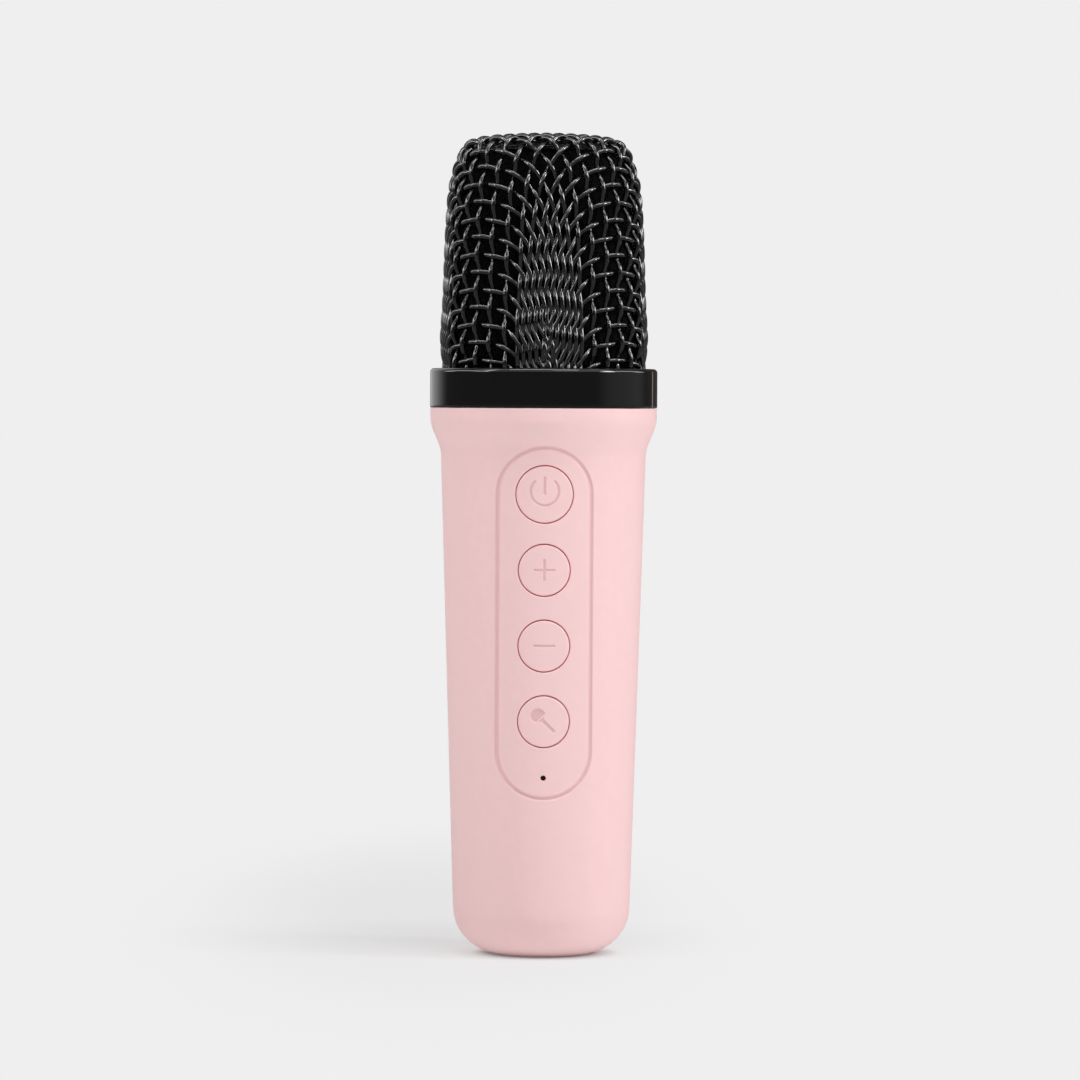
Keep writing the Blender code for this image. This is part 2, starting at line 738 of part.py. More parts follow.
def sled_outline(inner):
    """The channel's inside, open beyond the rails' front, or its outside."""
    if inner:
        back = arc((0.0, CHANNEL_CENTRE_Y), CHANNEL_INNER, 0, 180, CHANNEL_STEPS)
        return [(CHANNEL_INNER, -COLLAR_RADIUS), *back, (-CHANNEL_INNER, -COLLAR_RADIUS)]
    back = arc((0.0, CHANNEL_CENTRE_Y), CHANNEL_OUTER, 0, 180, CHANNEL_STEPS)
    right = [(RAIL_OUTER_X, RAIL_FRONT_Y), (RAIL_OUTER_X, RAIL_BEND_Y)]
    left = [(-x, y) for x, y in reversed(right)]
    return [*right, *back, *left]


def make_sled():
    shelf_top = CELL_LOW - GAP
    cell_top = CELL_LOW + CELL_LENGTH + GAP + PAD_THICK + GAP
    bm = bmesh.new()
    add_prism(bm, sled_outline(inner=False), SLED_LOW, SLED_TOP + 0.5)
    sled = make_node("chassis_sled", bm, "sled_grey")
    flange = bmesh.new()
    add_rod(flange, FLANGE_RADIUS, SLED_TOP, FLANGE_TOP, SIDES)
    reshape(sled, "UNION", flange, "flange")
    bays = bmesh.new()
    inside = sled_outline(inner=True)
    add_prism(bays, inside, FOOT_TOP, shelf_top - SHELF)
    add_prism(bays, inside, shelf_top, cell_top)
    add_prism(bays, inside, cell_top + SHELF, FLANGE_TOP + 1.0)
    reshape(sled, "DIFFERENCE", bays, "bays")
    posts = bmesh.new()
    for angle in POST_ANGLES:
        x, y = arc((0.0, 0.0), POST_CIRCLE, angle, angle, 1)[0]
        placed = Matrix.Translation((x, y, 0.0))
        add_rod(posts, POST_RADIUS, SLED_TOP + 0.5, POST_TOP, 16, placed)
    reshape(sled, "UNION", posts, "posts")
    holes = bmesh.new()
    for prefix in ("chassis_screw", "head_screw", "board_screw", "usb_screw"):
        add_screw_holes(holes, prefix)
    reshape(sled, "DIFFERENCE", holes, "screw_holes")


def make_battery():
    edge = 0.6
    top = CELL_LOW + CELL_LENGTH
    outline = [
        (0.0, CELL_LOW),
        (CELL_RADIUS - edge, CELL_LOW),
        (CELL_RADIUS, CELL_LOW + edge),
        (CELL_RADIUS, top - edge),
        (CELL_RADIUS - edge, top),
        (0.0, top),
    ]
    centre = Matrix.Translation((0.0, CHANNEL_CENTRE_Y, 0.0))
    cell = bmesh.new()
    add_turned(cell, outline, 32, placed=centre)
    make_node("battery_cell", cell, "cell_blue", (0.0, CHANNEL_CENTRE_Y, 0.0))
    pad = bmesh.new()
    add_rod(pad, CELL_RADIUS - 0.5, top + GAP, top + GAP + PAD_THICK, placed=centre)
    make_node("battery_pad", pad, "foam_black", (0.0, CHANNEL_CENTRE_Y, 0.0))
    for name, x in (("battery_lead_red", BATTERY_LEAD_X), ("battery_lead_black", -BATTERY_LEAD_X)):
        route = [(x, y, z) for y, z in BATTERY_LEAD_ROUTE]
        make_lead(name, route, POWER_LEAD_RADIUS, name.replace("battery_", ""))


# ---------------------------------------------------------------- boards


def make_block(name, x, z, width, height, depth, finish):
    """A rectangular part standing on the main board's front."""
    bm = bmesh.new()
    low = (x - width / 2, PART_SEAT_Y - depth, z - height / 2)
    high = (x + width / 2, PART_SEAT_Y, z + height / 2)
    add_box(bm, low, high)
    make_node(name, bm, finish)


def make_main_board():
    bm = bmesh.new()
    low = (-BOARD_HALF_WIDTH, BOARD_FRONT_Y, BOARD_LOW)
    high = (BOARD_HALF_WIDTH, BOARD_BACK_Y, BOARD_TOP)
    add_box(bm, low, high)
    board = make_node("main_board", bm, "board_green")
    holes = bmesh.new()
    add_screw_holes(holes, "board_screw")
    reshape(board, "DIFFERENCE", holes, "screw_holes")
    for name, measures in BOARD_PARTS.items():
        make_block(name, *measures)
    make_block("status_led", 0.0, LAMP_Z, *STATUS_LED_SIZE, "clear")


def make_light_pipe():
    """A stepped pin with a pocket over the lamp; its nose ends behind the pinhole."""
    nose = cone_radius(LAMP_Z) - WALL - GAP
    foot = -PART_SEAT_Y
    outline = [
        (0.0, nose),
        (PIPE_RADIUS, nose),
        (PIPE_RADIUS, foot + PIPE_FOOT_HEIGHT),
        (PIPE_FOOT_RADIUS, foot + PIPE_FOOT_HEIGHT),
        (PIPE_FOOT_RADIUS, foot),
        (PIPE_POCKET_RADIUS, foot),
        (PIPE_POCKET_RADIUS, foot + PIPE_POCKET_DEPTH),
        (0.0, foot + PIPE_POCKET_DEPTH),
    ]
    bm = bmesh.new()
    add_turned(bm, outline, 16, placed=Matrix.Translation((0.0, 0.0, LAMP_Z)) @ FACING_FRONT)
    make_node("light_pipe", bm, "clear")


def make_usb_inlet():
    board = bmesh.new()
    half_x, half_y = USB_BOARD_HALF
    add_box(board, (-half_x, -half_y, USB_BOARD_LOW), (half_x, half_y, USB_BOARD_TOP))
    usb_board = make_node("usb_board", board, "board_green")
    holes = bmesh.new()
    add_screw_holes(holes, "usb_screw")
    reshape(usb_board, "DIFFERENCE", holes, "screw_holes")
    shell = bmesh.new()
    add_prism(shell, stadium(USB_WIDTH, USB_DEPTH), USB_LOW, USB_TOP)
    usb_shell = make_node("usb_shell", shell, "steel")
    cavity = bmesh.new()
    mouth = stadium(USB_WIDTH - 2 * USB_WALL, USB_DEPTH - 2 * USB_WALL)
    add_prism(cavity, mouth, USB_LOW - 1.0, USB_TOP - 0.4)
    reshape(usb_shell, "DIFFERENCE", cavity, "cavity")
    make_usb_tongue()


def make_usb_tongue():
    """The insulator at the back of the receptacle and the tongue that carries the contacts."""
    block_low = USB_TOP - 1.6
    block_top = USB_TOP - 0.7
    inset = 2 * (USB_WALL + GAP)
    bm = bmesh.new()
    add_prism(bm, stadium(USB_WIDTH - inset, USB_DEPTH - inset), block_low, block_top)
    tongue = make_node("usb_tongue", bm, "chip_black")
    blade = bmesh.new()
    add_box(blade, (-3.35, -0.35, USB_LOW + 0.6), (3.35, 0.35, block_low + 0.4))
    reshape(tongue, "UNION", blade, "blade")


def make_leads():
    make_lead("usb_lead", USB_LEAD_ROUTE, POWER_LEAD_RADIUS, "lead_black")
    leads = (("hot", -CAPSULE_LEAD_SHIFT, "lead_red"), ("cold", CAPSULE_LEAD_SHIFT, "lead_black"))
    for name, shift, finish in leads:
        route = [(x + shift, y, z) for x, y, z in CAPSULE_LEAD_ROUTE]
        make_lead("capsule_lead_" + name, route, SIGNAL_LEAD_RADIUS, finish)


# ---------------------------------------------------------------- the microphone


def clear_scene():
    for thing in list(bpy.data.objects):
        bpy.data.objects.remove(thing, do_unlink=True)


def main():
    clear_scene()
    make_grille()
    make_crown_disc()
    make_foam()
    make_hem_ring()
    make_collar()
    make_head_plate()
    make_capsule()
    make_handle()
    make_buttons()
    make_sled()
    make_battery()
    make_main_board()
    make_light_pipe()
    make_usb_inlet()
    make_leads()
    for name, place in screw_places().items():
        make_screw(name, *place)


main()
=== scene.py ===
"""Looks of the karaoke microphone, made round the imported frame.

Lengths are millimetres, and piece() turns a finished mesh into metres. The frame is the part's own: the
origin at the centre of the base, +Z up the handle, the buttons facing -Y. An azimuth is an angle from
the front towards +X.
"""

import json
import math

import bmesh
import bpy
import numpy as np
from mathutils import Matrix, Vector
from mathutils.geometry import delaunay_2d_cdt


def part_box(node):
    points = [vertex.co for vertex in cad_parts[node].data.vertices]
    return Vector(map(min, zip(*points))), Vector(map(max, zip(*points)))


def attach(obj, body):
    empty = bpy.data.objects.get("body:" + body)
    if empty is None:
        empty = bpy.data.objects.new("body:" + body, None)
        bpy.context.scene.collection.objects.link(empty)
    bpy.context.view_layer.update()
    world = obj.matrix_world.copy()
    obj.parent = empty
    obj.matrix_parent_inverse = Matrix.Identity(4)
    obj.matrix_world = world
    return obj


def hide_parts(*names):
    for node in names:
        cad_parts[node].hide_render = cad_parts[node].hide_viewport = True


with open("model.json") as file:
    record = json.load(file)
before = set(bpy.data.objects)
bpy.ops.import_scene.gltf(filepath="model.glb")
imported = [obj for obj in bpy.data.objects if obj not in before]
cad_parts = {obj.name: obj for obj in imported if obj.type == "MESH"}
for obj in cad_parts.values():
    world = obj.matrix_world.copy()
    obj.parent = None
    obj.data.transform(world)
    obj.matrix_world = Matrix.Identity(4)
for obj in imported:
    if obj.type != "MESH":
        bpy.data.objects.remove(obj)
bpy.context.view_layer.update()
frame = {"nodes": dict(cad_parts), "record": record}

MM = 0.001
BODY = "microphone"


def span(node):
    """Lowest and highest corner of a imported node, in millimetres."""
    low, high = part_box(node)
    return [v / MM for v in low], [v / MM for v in high]


# ---------------------------------------------------------------- sizes

HANDLE_TOP = span("handle_shell")[1][2]
CONE_RADIUS_AT_BASE = 17.64
CONE_SLOPE = 0.0307
CONE_ANGLE = math.atan(CONE_SLOPE)
FLARE_LOW = 101.0
FLARE_HIGH = 108.2
FLARE_STEP = 1.94
BASE_ROUND = 9.5
WALL = 2.0
NECK_SEAT_LOW = 104.4
NECK_SEAT_RADIUS = 19.0
TOP_EDGE_ROUND = 0.06
USB_SLOT_WIDTH = 9.64
USB_SLOT_END_RADIUS = 1.98
USB_SLOT_STRAIGHT = USB_SLOT_WIDTH / 2 - USB_SLOT_END_RADIUS
USB_SLOT_ROUND = 0.2
RIM_ROUND = 0.22  # rounding of the holes' edges
INSIDE_HOLE = 0.9985  # a triangle whose middle is nearer to a hole's centre, in radii, is left out

# Moulded groove round the buttons, its centreline, and the front patch of the skin that holds it
GROOVE_HALF_WIDTH = 9.3
GROOVE_LOW_CENTRE = 41.9
GROOVE_REACH = 0.55
GROOVE_SLOPE = 0.4
GROOVE_DEPTH = 0.3
# share of the painted groove shade that the groove's bottom gets
GROOVE_PAINTED_SHADE = 0.8
GROOVE_SPREAD = 0.8  # the skin has rows of points up to this far from the centreline
GROOVE_CLEARANCE = 1.25  # and no others up to this far
HOLE_CLEARANCE = 1.15
PATCH_LOW = 29.0
PATCH_HIGH = 104.8
PATCH_AZIMUTH = math.radians(39.0)

# Buttons: hole radii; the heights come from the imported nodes
HOLES = {"power": 5.85, "volume_up": 5.3, "volume_down": 5.3, "voice": 5.3}
HEIGHTS = {name: sum(corner[2] for corner in span("button_" + name)) / 2 for name in HOLES}
BUTTON_GAP = 0.22
LIP = 0.75
FLANGE = 0.9
FLANGE_CLEARANCE = 0.3
CAP_ROUND = 0.3
CAP_STEP = 0.1
CAP_SIDES = 168
STEM_RADIUS = 1.5
ICON_HALF_STROKE = 0.25
ICON_SOFT = 0.22
ICON_DEPTH = 0.14
LAMP_Z = sum(v[2] for v in span("light_pipe")) / 2
LAMP_RADIUS = 0.55
FRONT_HOLES = [(HEIGHTS[name], radius) for name, radius in HOLES.items()] + [(LAMP_Z, LAMP_RADIUS)]

# Head
HEAD_OUTLINE = [
    (20.95, 113.9),
    (20.95, 118.9),
    (21.4, 124.3),
    (20.95, 132.4),
    (20.5, 145.0),
    (19.85, 153.0),
    (18.8, 158.3),
    (17.2, 162.8),
    (15.6, 164.4),
    (13.1, 165.2),
    (6.5, 165.8),
    (0.0, 166.0),
]
WIRE_RADIUS = 0.5
WIRE_PITCH = 3.51
WIRE_SIDES = 10
WIRE_STEPS = 8  # rings from one crossing to the next
FOLDED = 0.3  # a cell whose diagonal is shorter than this, in pitches, has folded over
CLOSEST_CROSSINGS = 1.32  # neighbouring crossings of a sheared cell jam at this distance
OVER_RELAX = 1.3
CRIMP_SQUARENESS = 1.2
JAMMED_CRIMP = 0.4  # share of the crimp that is left where sheared wires lie side by side
JAMMED_CELL = 0.4  # openness of a cell whose wires lie side by side
OPEN_CELL = 0.9  # openness of a cell whose wires have their full crimp
WEAVE_TURN = math.radians(2.4)
HEM_LOW = 114.3
CLOTH_MID = 2 * WIRE_RADIUS
CLOTH_BACK = 4 * WIRE_RADIUS
CROWN_DISC_LOW = 161.9
CROWN_DISC_GAP = 0.1
CROWN_DISC_THICK = 0.5
FOAM_GAP = 0.7
FOAM_THICK = 2.6
OUTLINE_STEPS = 24
BELOW_OUTLINE = 20.0  # straight surface under the head's outline, which the wires need at their ends
BELOW_STEP = 0.2

# Collar
COLLAR_RADIUS = span("collar_ring")[1][0]
COLLAR_TOP = span("collar_ring")[1][2]
COLLAR_POCKET_RADIUS = 21.25
COLLAR_POCKET_LOW = 113.6
COLLAR_POCKET_ROUND = 0.2
COLLAR_TOP_ROUND = 0.8
COLLAR_LOW_ROUND = 0.3
COLLAR_JOINT = 0.04

# Painted shade in the recesses: factors on the pink in the groove and in the gaps, and the red of the painted
# glow in the gaps
GROOVE_SHADE = (0.88, 0.79, 0.8, 1)
GAP_SHADE = (0.5, 0.16, 0.17, 1)
PAINTED_GAP_GLOW_RED = (1, 0.13, 0.15, 1)
GAP_GLOW = 0.2  # painted glow on the walls of the narrow gaps, standing in for light that passes through the pink plastic
GAP_GLOW_FROM = 1.2  # recess value at which it starts


# ---------------------------------------------------------------- mesh helpers


def piece(name, points, faces, material, sharp=None):
    """A new piece from points in millimetres, smooth but for edges sharper than the given degrees."""
    mesh = bpy.data.meshes.new(name)
    mesh.from_pydata((np.asarray(points, float) * MM).tolist(), [], faces)
    bm = bmesh.new()
    bm.from_mesh(mesh)
    bmesh.ops.remove_doubles(bm, verts=bm.verts, dist=1e-6)
    loose = [vert for vert in bm.verts if not vert.link_faces]
    bmesh.ops.delete(bm, geom=loose, context="VERTS")
    bmesh.ops.recalc_face_normals(bm, faces=bm.faces)
    bm.to_mesh(mesh)
    bm.free()
    mesh.shade_smooth()
    if sharp:
        mesh.set_sharp_from_angle(angle=math.radians(sharp))
    mesh.materials.append(material)
    made = bpy.data.objects.new(name, mesh)
    bpy.context.scene.collection.objects.link(made)
    return made


def place(made, body, node):
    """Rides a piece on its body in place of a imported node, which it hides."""
    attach(made, body)
    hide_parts(node)


def smooth_curve(points, steps):
    """A Catmull-Rom curve through the points, with this many steps from each to the next."""
    knots = np.array(points, float)
    knots = np.vstack([2 * knots[0] - knots[1], knots, 2 * knots[-1] - knots[-2]])
    t = (np.arange(steps) / steps)[:, None]
    runs = []
    for a, b, c, d in zip(knots, knots[1:], knots[2:], knots[3:]):
        square = (2 * a - 5 * b + 4 * c - d) * t**2
        cube = (3 * b - a - 3 * c + d) * t**3
        runs.append(0.5 * (2 * b + (c - a) * t + square + cube))
    return np.vstack([*runs, knots[-2:-1]])


def arc(centre, radius, start, end, steps):
    """Points on a circle from one angle to another, in degrees."""
    angles = np.radians(np.linspace(start, end, steps + 1))
    return np.stack([centre[0] + radius * np.cos(angles), centre[1] + radius * np.sin(angles)], 1)


def strip(first, second, count, closed=True):
    """Quads between two rows of vertices that start at these indices."""
    last = count if closed else count - 1
    rows = []
    for k in range(last):
        n = (k + 1) % count
        rows.append((first + k, first + n, second + n, second + k))
    return rows


def turned(name, outline, material, sides=160, sharp=35, closed=True):
    """A piece turned from a closed (radius, height) outline; an open one starts and ends on the axis."""
    outline = np.asarray(outline, float)
    angles = np.linspace(0, 2 * math.pi, sides, endpoint=False)
    points = [(r * np.cos(angles), r * np.sin(angles), np.full(sides, z)) for r, z in outline]
    points = np.concatenate([np.stack(ring, 1) for ring in points])
    faces = []
    count = len(outline)
    for k in range(count if closed else count - 1):
        faces += strip(k * sides, (k + 1) % count * sides, sides)
    return piece(name, points, faces, material, sharp)


def smoothstep(value, low, high):
    t = np.clip((value - low) / (high - low), 0, 1)
    return t * t * (3 - 2 * t)


# ---------------------------------------------------------------- materials


def linear(channel):
    c = channel / 255
    return c / 12.92 if c <= 0.04045 else ((c + 0.055) / 1.055) ** 2.4


def finish(
    name, colour, roughness, metallic=0.0, grain=0.4, bump=0.02, vary=0.06, rough_vary=0.08, **sockets
):
    """A procedural finish: sRGB colour with a soft mottle, uneven gloss and a fine grain in millimetres."""
    material = bpy.data.materials.new(name)
    material.use_nodes = True
    nodes = material.node_tree.nodes
    links = material.node_tree.links
    shader = nodes["Principled BSDF"]
    base = [linear(c) for c in colour]
    where = nodes.new("ShaderNodeTexCoord")

    mottle = nodes.new("ShaderNodeTexNoise")
    mottle.inputs["Scale"].default_value = 1 / (9 * grain * MM)
    mottle.inputs["Detail"].default_value = 4
    links.new(where.outputs["Object"], mottle.inputs["Vector"])
    tint = nodes.new("ShaderNodeValToRGB")
    tint.color_ramp.elements[0].position = 0.3
    tint.color_ramp.elements[1].position = 0.7
    tint.color_ramp.elements[0].color = (*[c * (1 - vary) for c in base], 1)
    tint.color_ramp.elements[1].color = (*[min(c * (1 + vary), 1) for c in base], 1)
    links.new(mottle.outputs["Fac"], tint.inputs["Fac"])
    links.new(tint.outputs["Color"], shader.inputs["Base Color"])

    gloss = nodes.new("ShaderNodeMapRange")
    gloss.inputs["From Min"].default_value = 0.3
    gloss.inputs["From Max"].default_value = 0.7
    gloss.inputs["To Min"].default_value = max(roughness - rough_vary / 2, 0.02)
    gloss.inputs["To Max"].default_value = min(roughness + rough_vary / 2, 1.0)
    links.new(mottle.outputs["Fac"], gloss.inputs["Value"])
    links.new(gloss.outputs["Result"], shader.inputs["Roughness"])

    fine = nodes.new("ShaderNodeTexNoise")
    fine.inputs["Scale"].default_value = 1 / (grain * MM)
    fine.inputs["Detail"].default_value = 3
    links.new(where.outputs["Object"], fine.inputs["Vector"])
    raise_grain = nodes.new("ShaderNodeBump")
    raise_grain.inputs["Strength"].default_value = 1.0
    raise_grain.inputs["Distance"].default_value = bump * MM
    links.new(fine.outputs["Fac"], raise_grain.inputs["Height"])
    links.new(raise_grain.outputs["Normal"], shader.inputs["Normal"])

    shader.inputs["Metallic"].default_value = metallic
    for socket, value in sockets.items():
        shader.inputs[socket.replace("_", " ")].default_value = value
    return material


def with_painted_shade_and_glow(material):
    """Paints shade on a finish where the "recess" attribute is 1, and a deep painted shade with a painted red
    glow where it is 2.
    """
    nodes = material.node_tree.nodes
    links = material.node_tree.links
    shader = nodes["Principled BSDF"]
    base = shader.inputs["Base Color"].links[0].from_socket
    recess = nodes.new("ShaderNodeAttribute")
    recess.attribute_name = "recess"
    half = nodes.new("ShaderNodeMath")
    half.operation = "MULTIPLY"
    half.inputs[1].default_value = 0.5
    links.new(recess.outputs["Fac"], half.inputs[0])
    depth = nodes.new("ShaderNodeValToRGB")
    depth.color_ramp.elements[0].color = (1, 1, 1, 1)
    depth.color_ramp.elements[1].color = GAP_SHADE
    depth.color_ramp.elements.new(0.5).color = GROOVE_SHADE
    links.new(half.outputs["Value"], depth.inputs["Fac"])
    inner = nodes.new("ShaderNodeMapRange")
    inner.inputs["From Min"].default_value = GAP_GLOW_FROM
    inner.inputs["From Max"].default_value = 2.0
    inner.inputs["To Max"].default_value = GAP_GLOW
    links.new(recess.outputs["Fac"], inner.inputs["Value"])
    links.new(inner.outputs["Result"], shader.inputs["Emission Strength"])
    shader.inputs["Emission Color"].default_value = PAINTED_GAP_GLOW_RED
    darken = nodes.new("ShaderNodeMix")
    darken.data_type = "RGBA"
    darken.blend_type = "MULTIPLY"
    darken.inputs["Factor"].default_value = 1.0
    links.new(base, darken.inputs["A"])
    links.new(depth.outputs["Color"], darken.inputs["B"])
    links.new(darken.outputs["Result"], shader.inputs["Base Color"])
    return material


def mark_recess(made, measure):
    """Stores how deep each point lies in a recess, as measured from its place in millimetres."""
    mesh = made.data
    places = np.empty(3 * len(mesh.vertices), np.float32)
    mesh.vertices.foreach_get("co", places)
    values = measure(*(places.reshape(-1, 3) / MM).T)
    attribute = mesh.attributes.new("recess", "FLOAT", "POINT")
    attribute.data.foreach_set("value", values.astype(np.float32))


def ramp(tree, output, start, end, low, high):
    """A value that goes smoothly from low to high while that of an output goes from start to end."""
    node = tree.nodes.new("ShaderNodeMapRange")
    node.interpolation_type = "SMOOTHSTEP"
    for socket, value in zip(("From Min", "From Max", "To Min", "To Max"), (start, end, low, high)):
        node.inputs[socket].default_value = value
    tree.links.new(output, node.inputs["Value"])
    return node.outputs["Result"]


def combine(tree, operation, first, second):
    node = tree.nodes.new("ShaderNodeMath")
    node.operation = operation
    tree.links.new(first, node.inputs[0])
    tree.links.new(second, node.inputs[1])
    return node.outputs["Value"]


def mixed(tree, share, first, second):
    """A mix of two shaders, with this share of the second."""
    node = tree.nodes.new("ShaderNodeMixShader")
    tree.links.new(share, node.inputs["Fac"])
    tree.links.new(first, node.inputs[1])
    tree.links.new(second, node.inputs[2])
    return node.outputs["Shader"]


def make_finishes():
    """One material for each material slot of the record."""
    pink = (236, 198, 198)
    wire = finish("gloss_enamel_wire", (8, 8, 9), 0.1, grain=1.5, bump=0.001, Specular_IOR_Level=0.9)
    disc = finish("gloss_black_disc", (16, 16, 17), 0.3, grain=1.5, bump=0.01)
    foam = finish(
        "open_cell_foam", (7, 7, 7), 0.95, grain=0.5, bump=0.6, vary=0.5, Specular_IOR_Level=0.1
    )
    pad = finish("grey_foam", (60, 60, 62), 0.95, grain=0.4, bump=0.3, vary=0.3)
    collar = finish("gloss_black_collar", (13, 13, 14), 0.07, grain=3.0, bump=0.004, rough_vary=0.03)
    shell = finish("soft_touch_pink", pink, 0.5, grain=0.25, bump=0.005, vary=0.012)
    caps = finish("soft_touch_caps", pink, 0.48, grain=0.25, bump=0.005, vary=0.012)
    # painted shade: the light pipe is made dark so that the pinhole in front of it reads as shaded
    lamp = finish(
        "shaded_dark_light_pipe", (26, 20, 20), 0.1, grain=1.0, bump=0.002, Transmission_Weight=0.3
    )
    return {
        "wire_cloth": wire,
        "crown_gloss": disc,
        "foam": foam,
        "pad_foam": pad,
        "collar_gloss": collar,
        "soft_touch": with_painted_shade_and_glow(shell),
        "button_soft_touch": with_painted_shade_and_glow(caps),
        "plated_steel": finish("nickel_plated_steel", (190, 190, 192), 0.28, 1.0, grain=0.3, bump=0.006),
        "screw_steel": finish("zinc_screw_steel", (176, 177, 182), 0.33, 1.0, grain=0.15, bump=0.008),
        "frame_plastic": finish("grey_moulded_plastic", (70, 70, 74), 0.55, grain=0.3, bump=0.02),
        "rubber_mount": finish("black_rubber", (24, 24, 24), 0.75, grain=0.3, bump=0.03),
        "copper_wire": finish("enamelled_copper", (186, 112, 62), 0.3, 1.0, grain=0.12, bump=0.04, vary=0.15),
        "film": finish("polyester_film", (205, 190, 150), 0.2, grain=1.0, bump=0.01),
        "cell_wrap": finish("blue_shrink_film", (50, 90, 152), 0.3, grain=2.0, bump=0.05),
        "lead_red": finish("red_insulation", (170, 34, 30), 0.4, grain=0.4, bump=0.01),
        "lead_black": finish("black_insulation", (26, 26, 26), 0.4, grain=0.4, bump=0.01),
        "board_green": finish("solder_mask_green", (22, 84, 50), 0.35, grain=1.2, bump=0.02, vary=0.25),
        "switch_housing": finish("switch_black", (34, 34, 34), 0.5, grain=0.2, bump=0.01),
        "white_plastic": finish("ivory_nylon", (222, 216, 200), 0.45, grain=0.3, bump=0.01),
        "chip": finish("moulded_epoxy", (36, 36, 38), 0.6, grain=0.1, bump=0.02),
        "clear_lens": lamp,
    }


FINISHES = make_finishes()


def dress_packed_nodes():
    """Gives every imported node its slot's finish."""
    for row in frame["record"]["subparts"]:
        node = frame["nodes"][row["node"]]
        for slot in node.material_slots:
            slot.material = FINISHES[row["material_slot"]]


# ---------------------------------------------------------------- woven grille


class Shell:
    """The head's surface of revolution at a depth under its outline, from the crown's centre down."""

    def __init__(self, depth):
        rows = smooth_curve(HEAD_OUTLINE, OUTLINE_STEPS)[::-1]
        along = np.gradient(rows, axis=0)
        along /= np.linalg.norm(along, axis=1)[:, None]
        along[0] = (1.0, 0.0)
        out = np.stack([-along[:, 1], along[:, 0]], 1)
        rows = rows - depth * out
        drop = np.arange(BELOW_STEP, BELOW_OUTLINE, BELOW_STEP)
        tail = np.stack([np.full(len(drop), rows[-1, 0]), rows[-1, 1] - drop], 1)
        self.rows = np.vstack([rows, tail])
        self.out = np.vstack([out, np.tile([1.0, 0.0], (len(drop), 1))])
        steps = np.linalg.norm(np.diff(self.rows, axis=0), axis=1)
        self.run = np.concatenate([[0], np.cumsum(steps)])
        self.length = self.run[-1] - BELOW_OUTLINE

    def at(self, run, angle):
        radius = np.interp(run, self.run, self.rows[:, 0])
        height = np.interp(run, self.run, self.rows[:, 1])
        return np.stack([radius * np.cos(angle), radius * np.sin(angle), height], -1)

    def settle(self, points):
        """Moves points onto the surface; gives them with the surface's outward directions."""
        radius = np.hypot(points[..., 0], points[..., 1])
        height = points[..., 2]
        far = (radius[..., None] - self.rows[:, 0]) ** 2 + (height[..., None] - self.rows[:, 1]) ** 2
        nearest = np.argmin(far, -1)
        row = self.rows[nearest]
        out = self.out[nearest]
        off = (radius - row[..., 0]) * out[..., 0] + (height - row[..., 1]) * out[..., 1]
        around = points[..., :2] / np.maximum(radius, 1e-9)[..., None]
        outward = np.concatenate([around * out[..., :1], out[..., 1:]], -1)
        return points - off[..., None] * outward, outward


def drawn_quarter(shell, rounds=80):
    """Crossing points of one quarter of the cloth, drawn over the head without stretching its wires.

    Row i and column j count wires from the two straight ones that cross at the crown's centre. Each
    crossing lies one pitch from its two neighbours nearer to the centre.
    """
    count = int(shell.length / WIRE_PITCH) + 3
    points = np.zeros((count, count, 3))
    used = np.zeros((count, count), bool)
    run = WIRE_PITCH * np.arange(count)
    points[:, 0] = shell.at(run, 0 * run)
    points[0, :] = shell.at(run, 0 * run + math.pi / 2)
    used[:, 0] = True
    used[0, :] = True
    for total in range(2, 2 * count - 1):
        i = np.arange(max(1, total - count + 1), min(total, count))
        j = total - i
        ready = used[i - 1, j] & used[i, j - 1]
        i, j = i[ready], j[ready]
        if not len(i):
            continue
        before, beside, corner = points[i - 1, j], points[i, j - 1], points[i - 1, j - 1]
        place_at = before + beside - corner
        for _round in range(rounds):
            for neighbour in (before, beside):
                gap = place_at - neighbour
                place_at = neighbour + gap * (WIRE_PITCH / np.linalg.norm(gap, axis=1))[:, None]
            place_at = shell.settle(place_at)[0]
        unfolded = np.linalg.norm(place_at - corner, axis=1) > FOLDED * WIRE_PITCH
        good = unfolded & (place_at[:, 2] > HEM_LOW - 2 * WIRE_PITCH)
        points[i[good], j[good]] = place_at[good]
        used[i[good], j[good]] = True
    return points, used


def relieved(shell, points, used, rounds=700, stiffness=0.002):
    """Spreads the crossings where the wires would lie in each other, and straightens the wires a little."""
    free = np.ones(used.shape, bool)
    free[0, :] = False
    free[:, 0] = False
    every = slice(None)
    low = slice(None, -1)
    high = slice(1, None)
    links = (
        ((low, every), (high, every), WIRE_PITCH, False),
        ((every, low), (every, high), WIRE_PITCH, False),
        ((high, low), (low, high), CLOSEST_CROSSINGS, True),
    )
    for _round in range(rounds):
        move = np.zeros_like(points)
        pulls = np.zeros(used.shape)
        for one, other, length, at_least in links:
            gap = points[other] - points[one]
            distance = np.maximum(np.linalg.norm(gap, axis=-1), 1e-9)
            acts = used[one] & used[other]
            if at_least:
                acts &= distance < length
            share = np.maximum(free[one].astype(float) + free[other], 1)
            error = np.where(acts, (distance - length) / (distance * share), 0)
            move[one] += (error * free[one])[..., None] * gap
            move[other] -= (error * free[other])[..., None] * gap
            pulls[one] += acts
            pulls[other] += acts
        points = points + OVER_RELAX * move / np.maximum(pulls, 1)[..., None]
        bend = np.zeros_like(points)
        acts = (used[:-2] & used[2:])[..., None]
        bend[1:-1] += np.where(acts, 0.5 * (points[:-2] + points[2:]) - points[1:-1], 0)
        acts = (used[:, :-2] & used[:, 2:])[..., None]
        bend[:, 1:-1] += np.where(acts, 0.5 * (points[:, :-2] + points[:, 2:]) - points[:, 1:-1], 0)
        points = points + stiffness * np.where(free[..., None], bend, 0)
        points = shell.settle(points)[0]
    return points


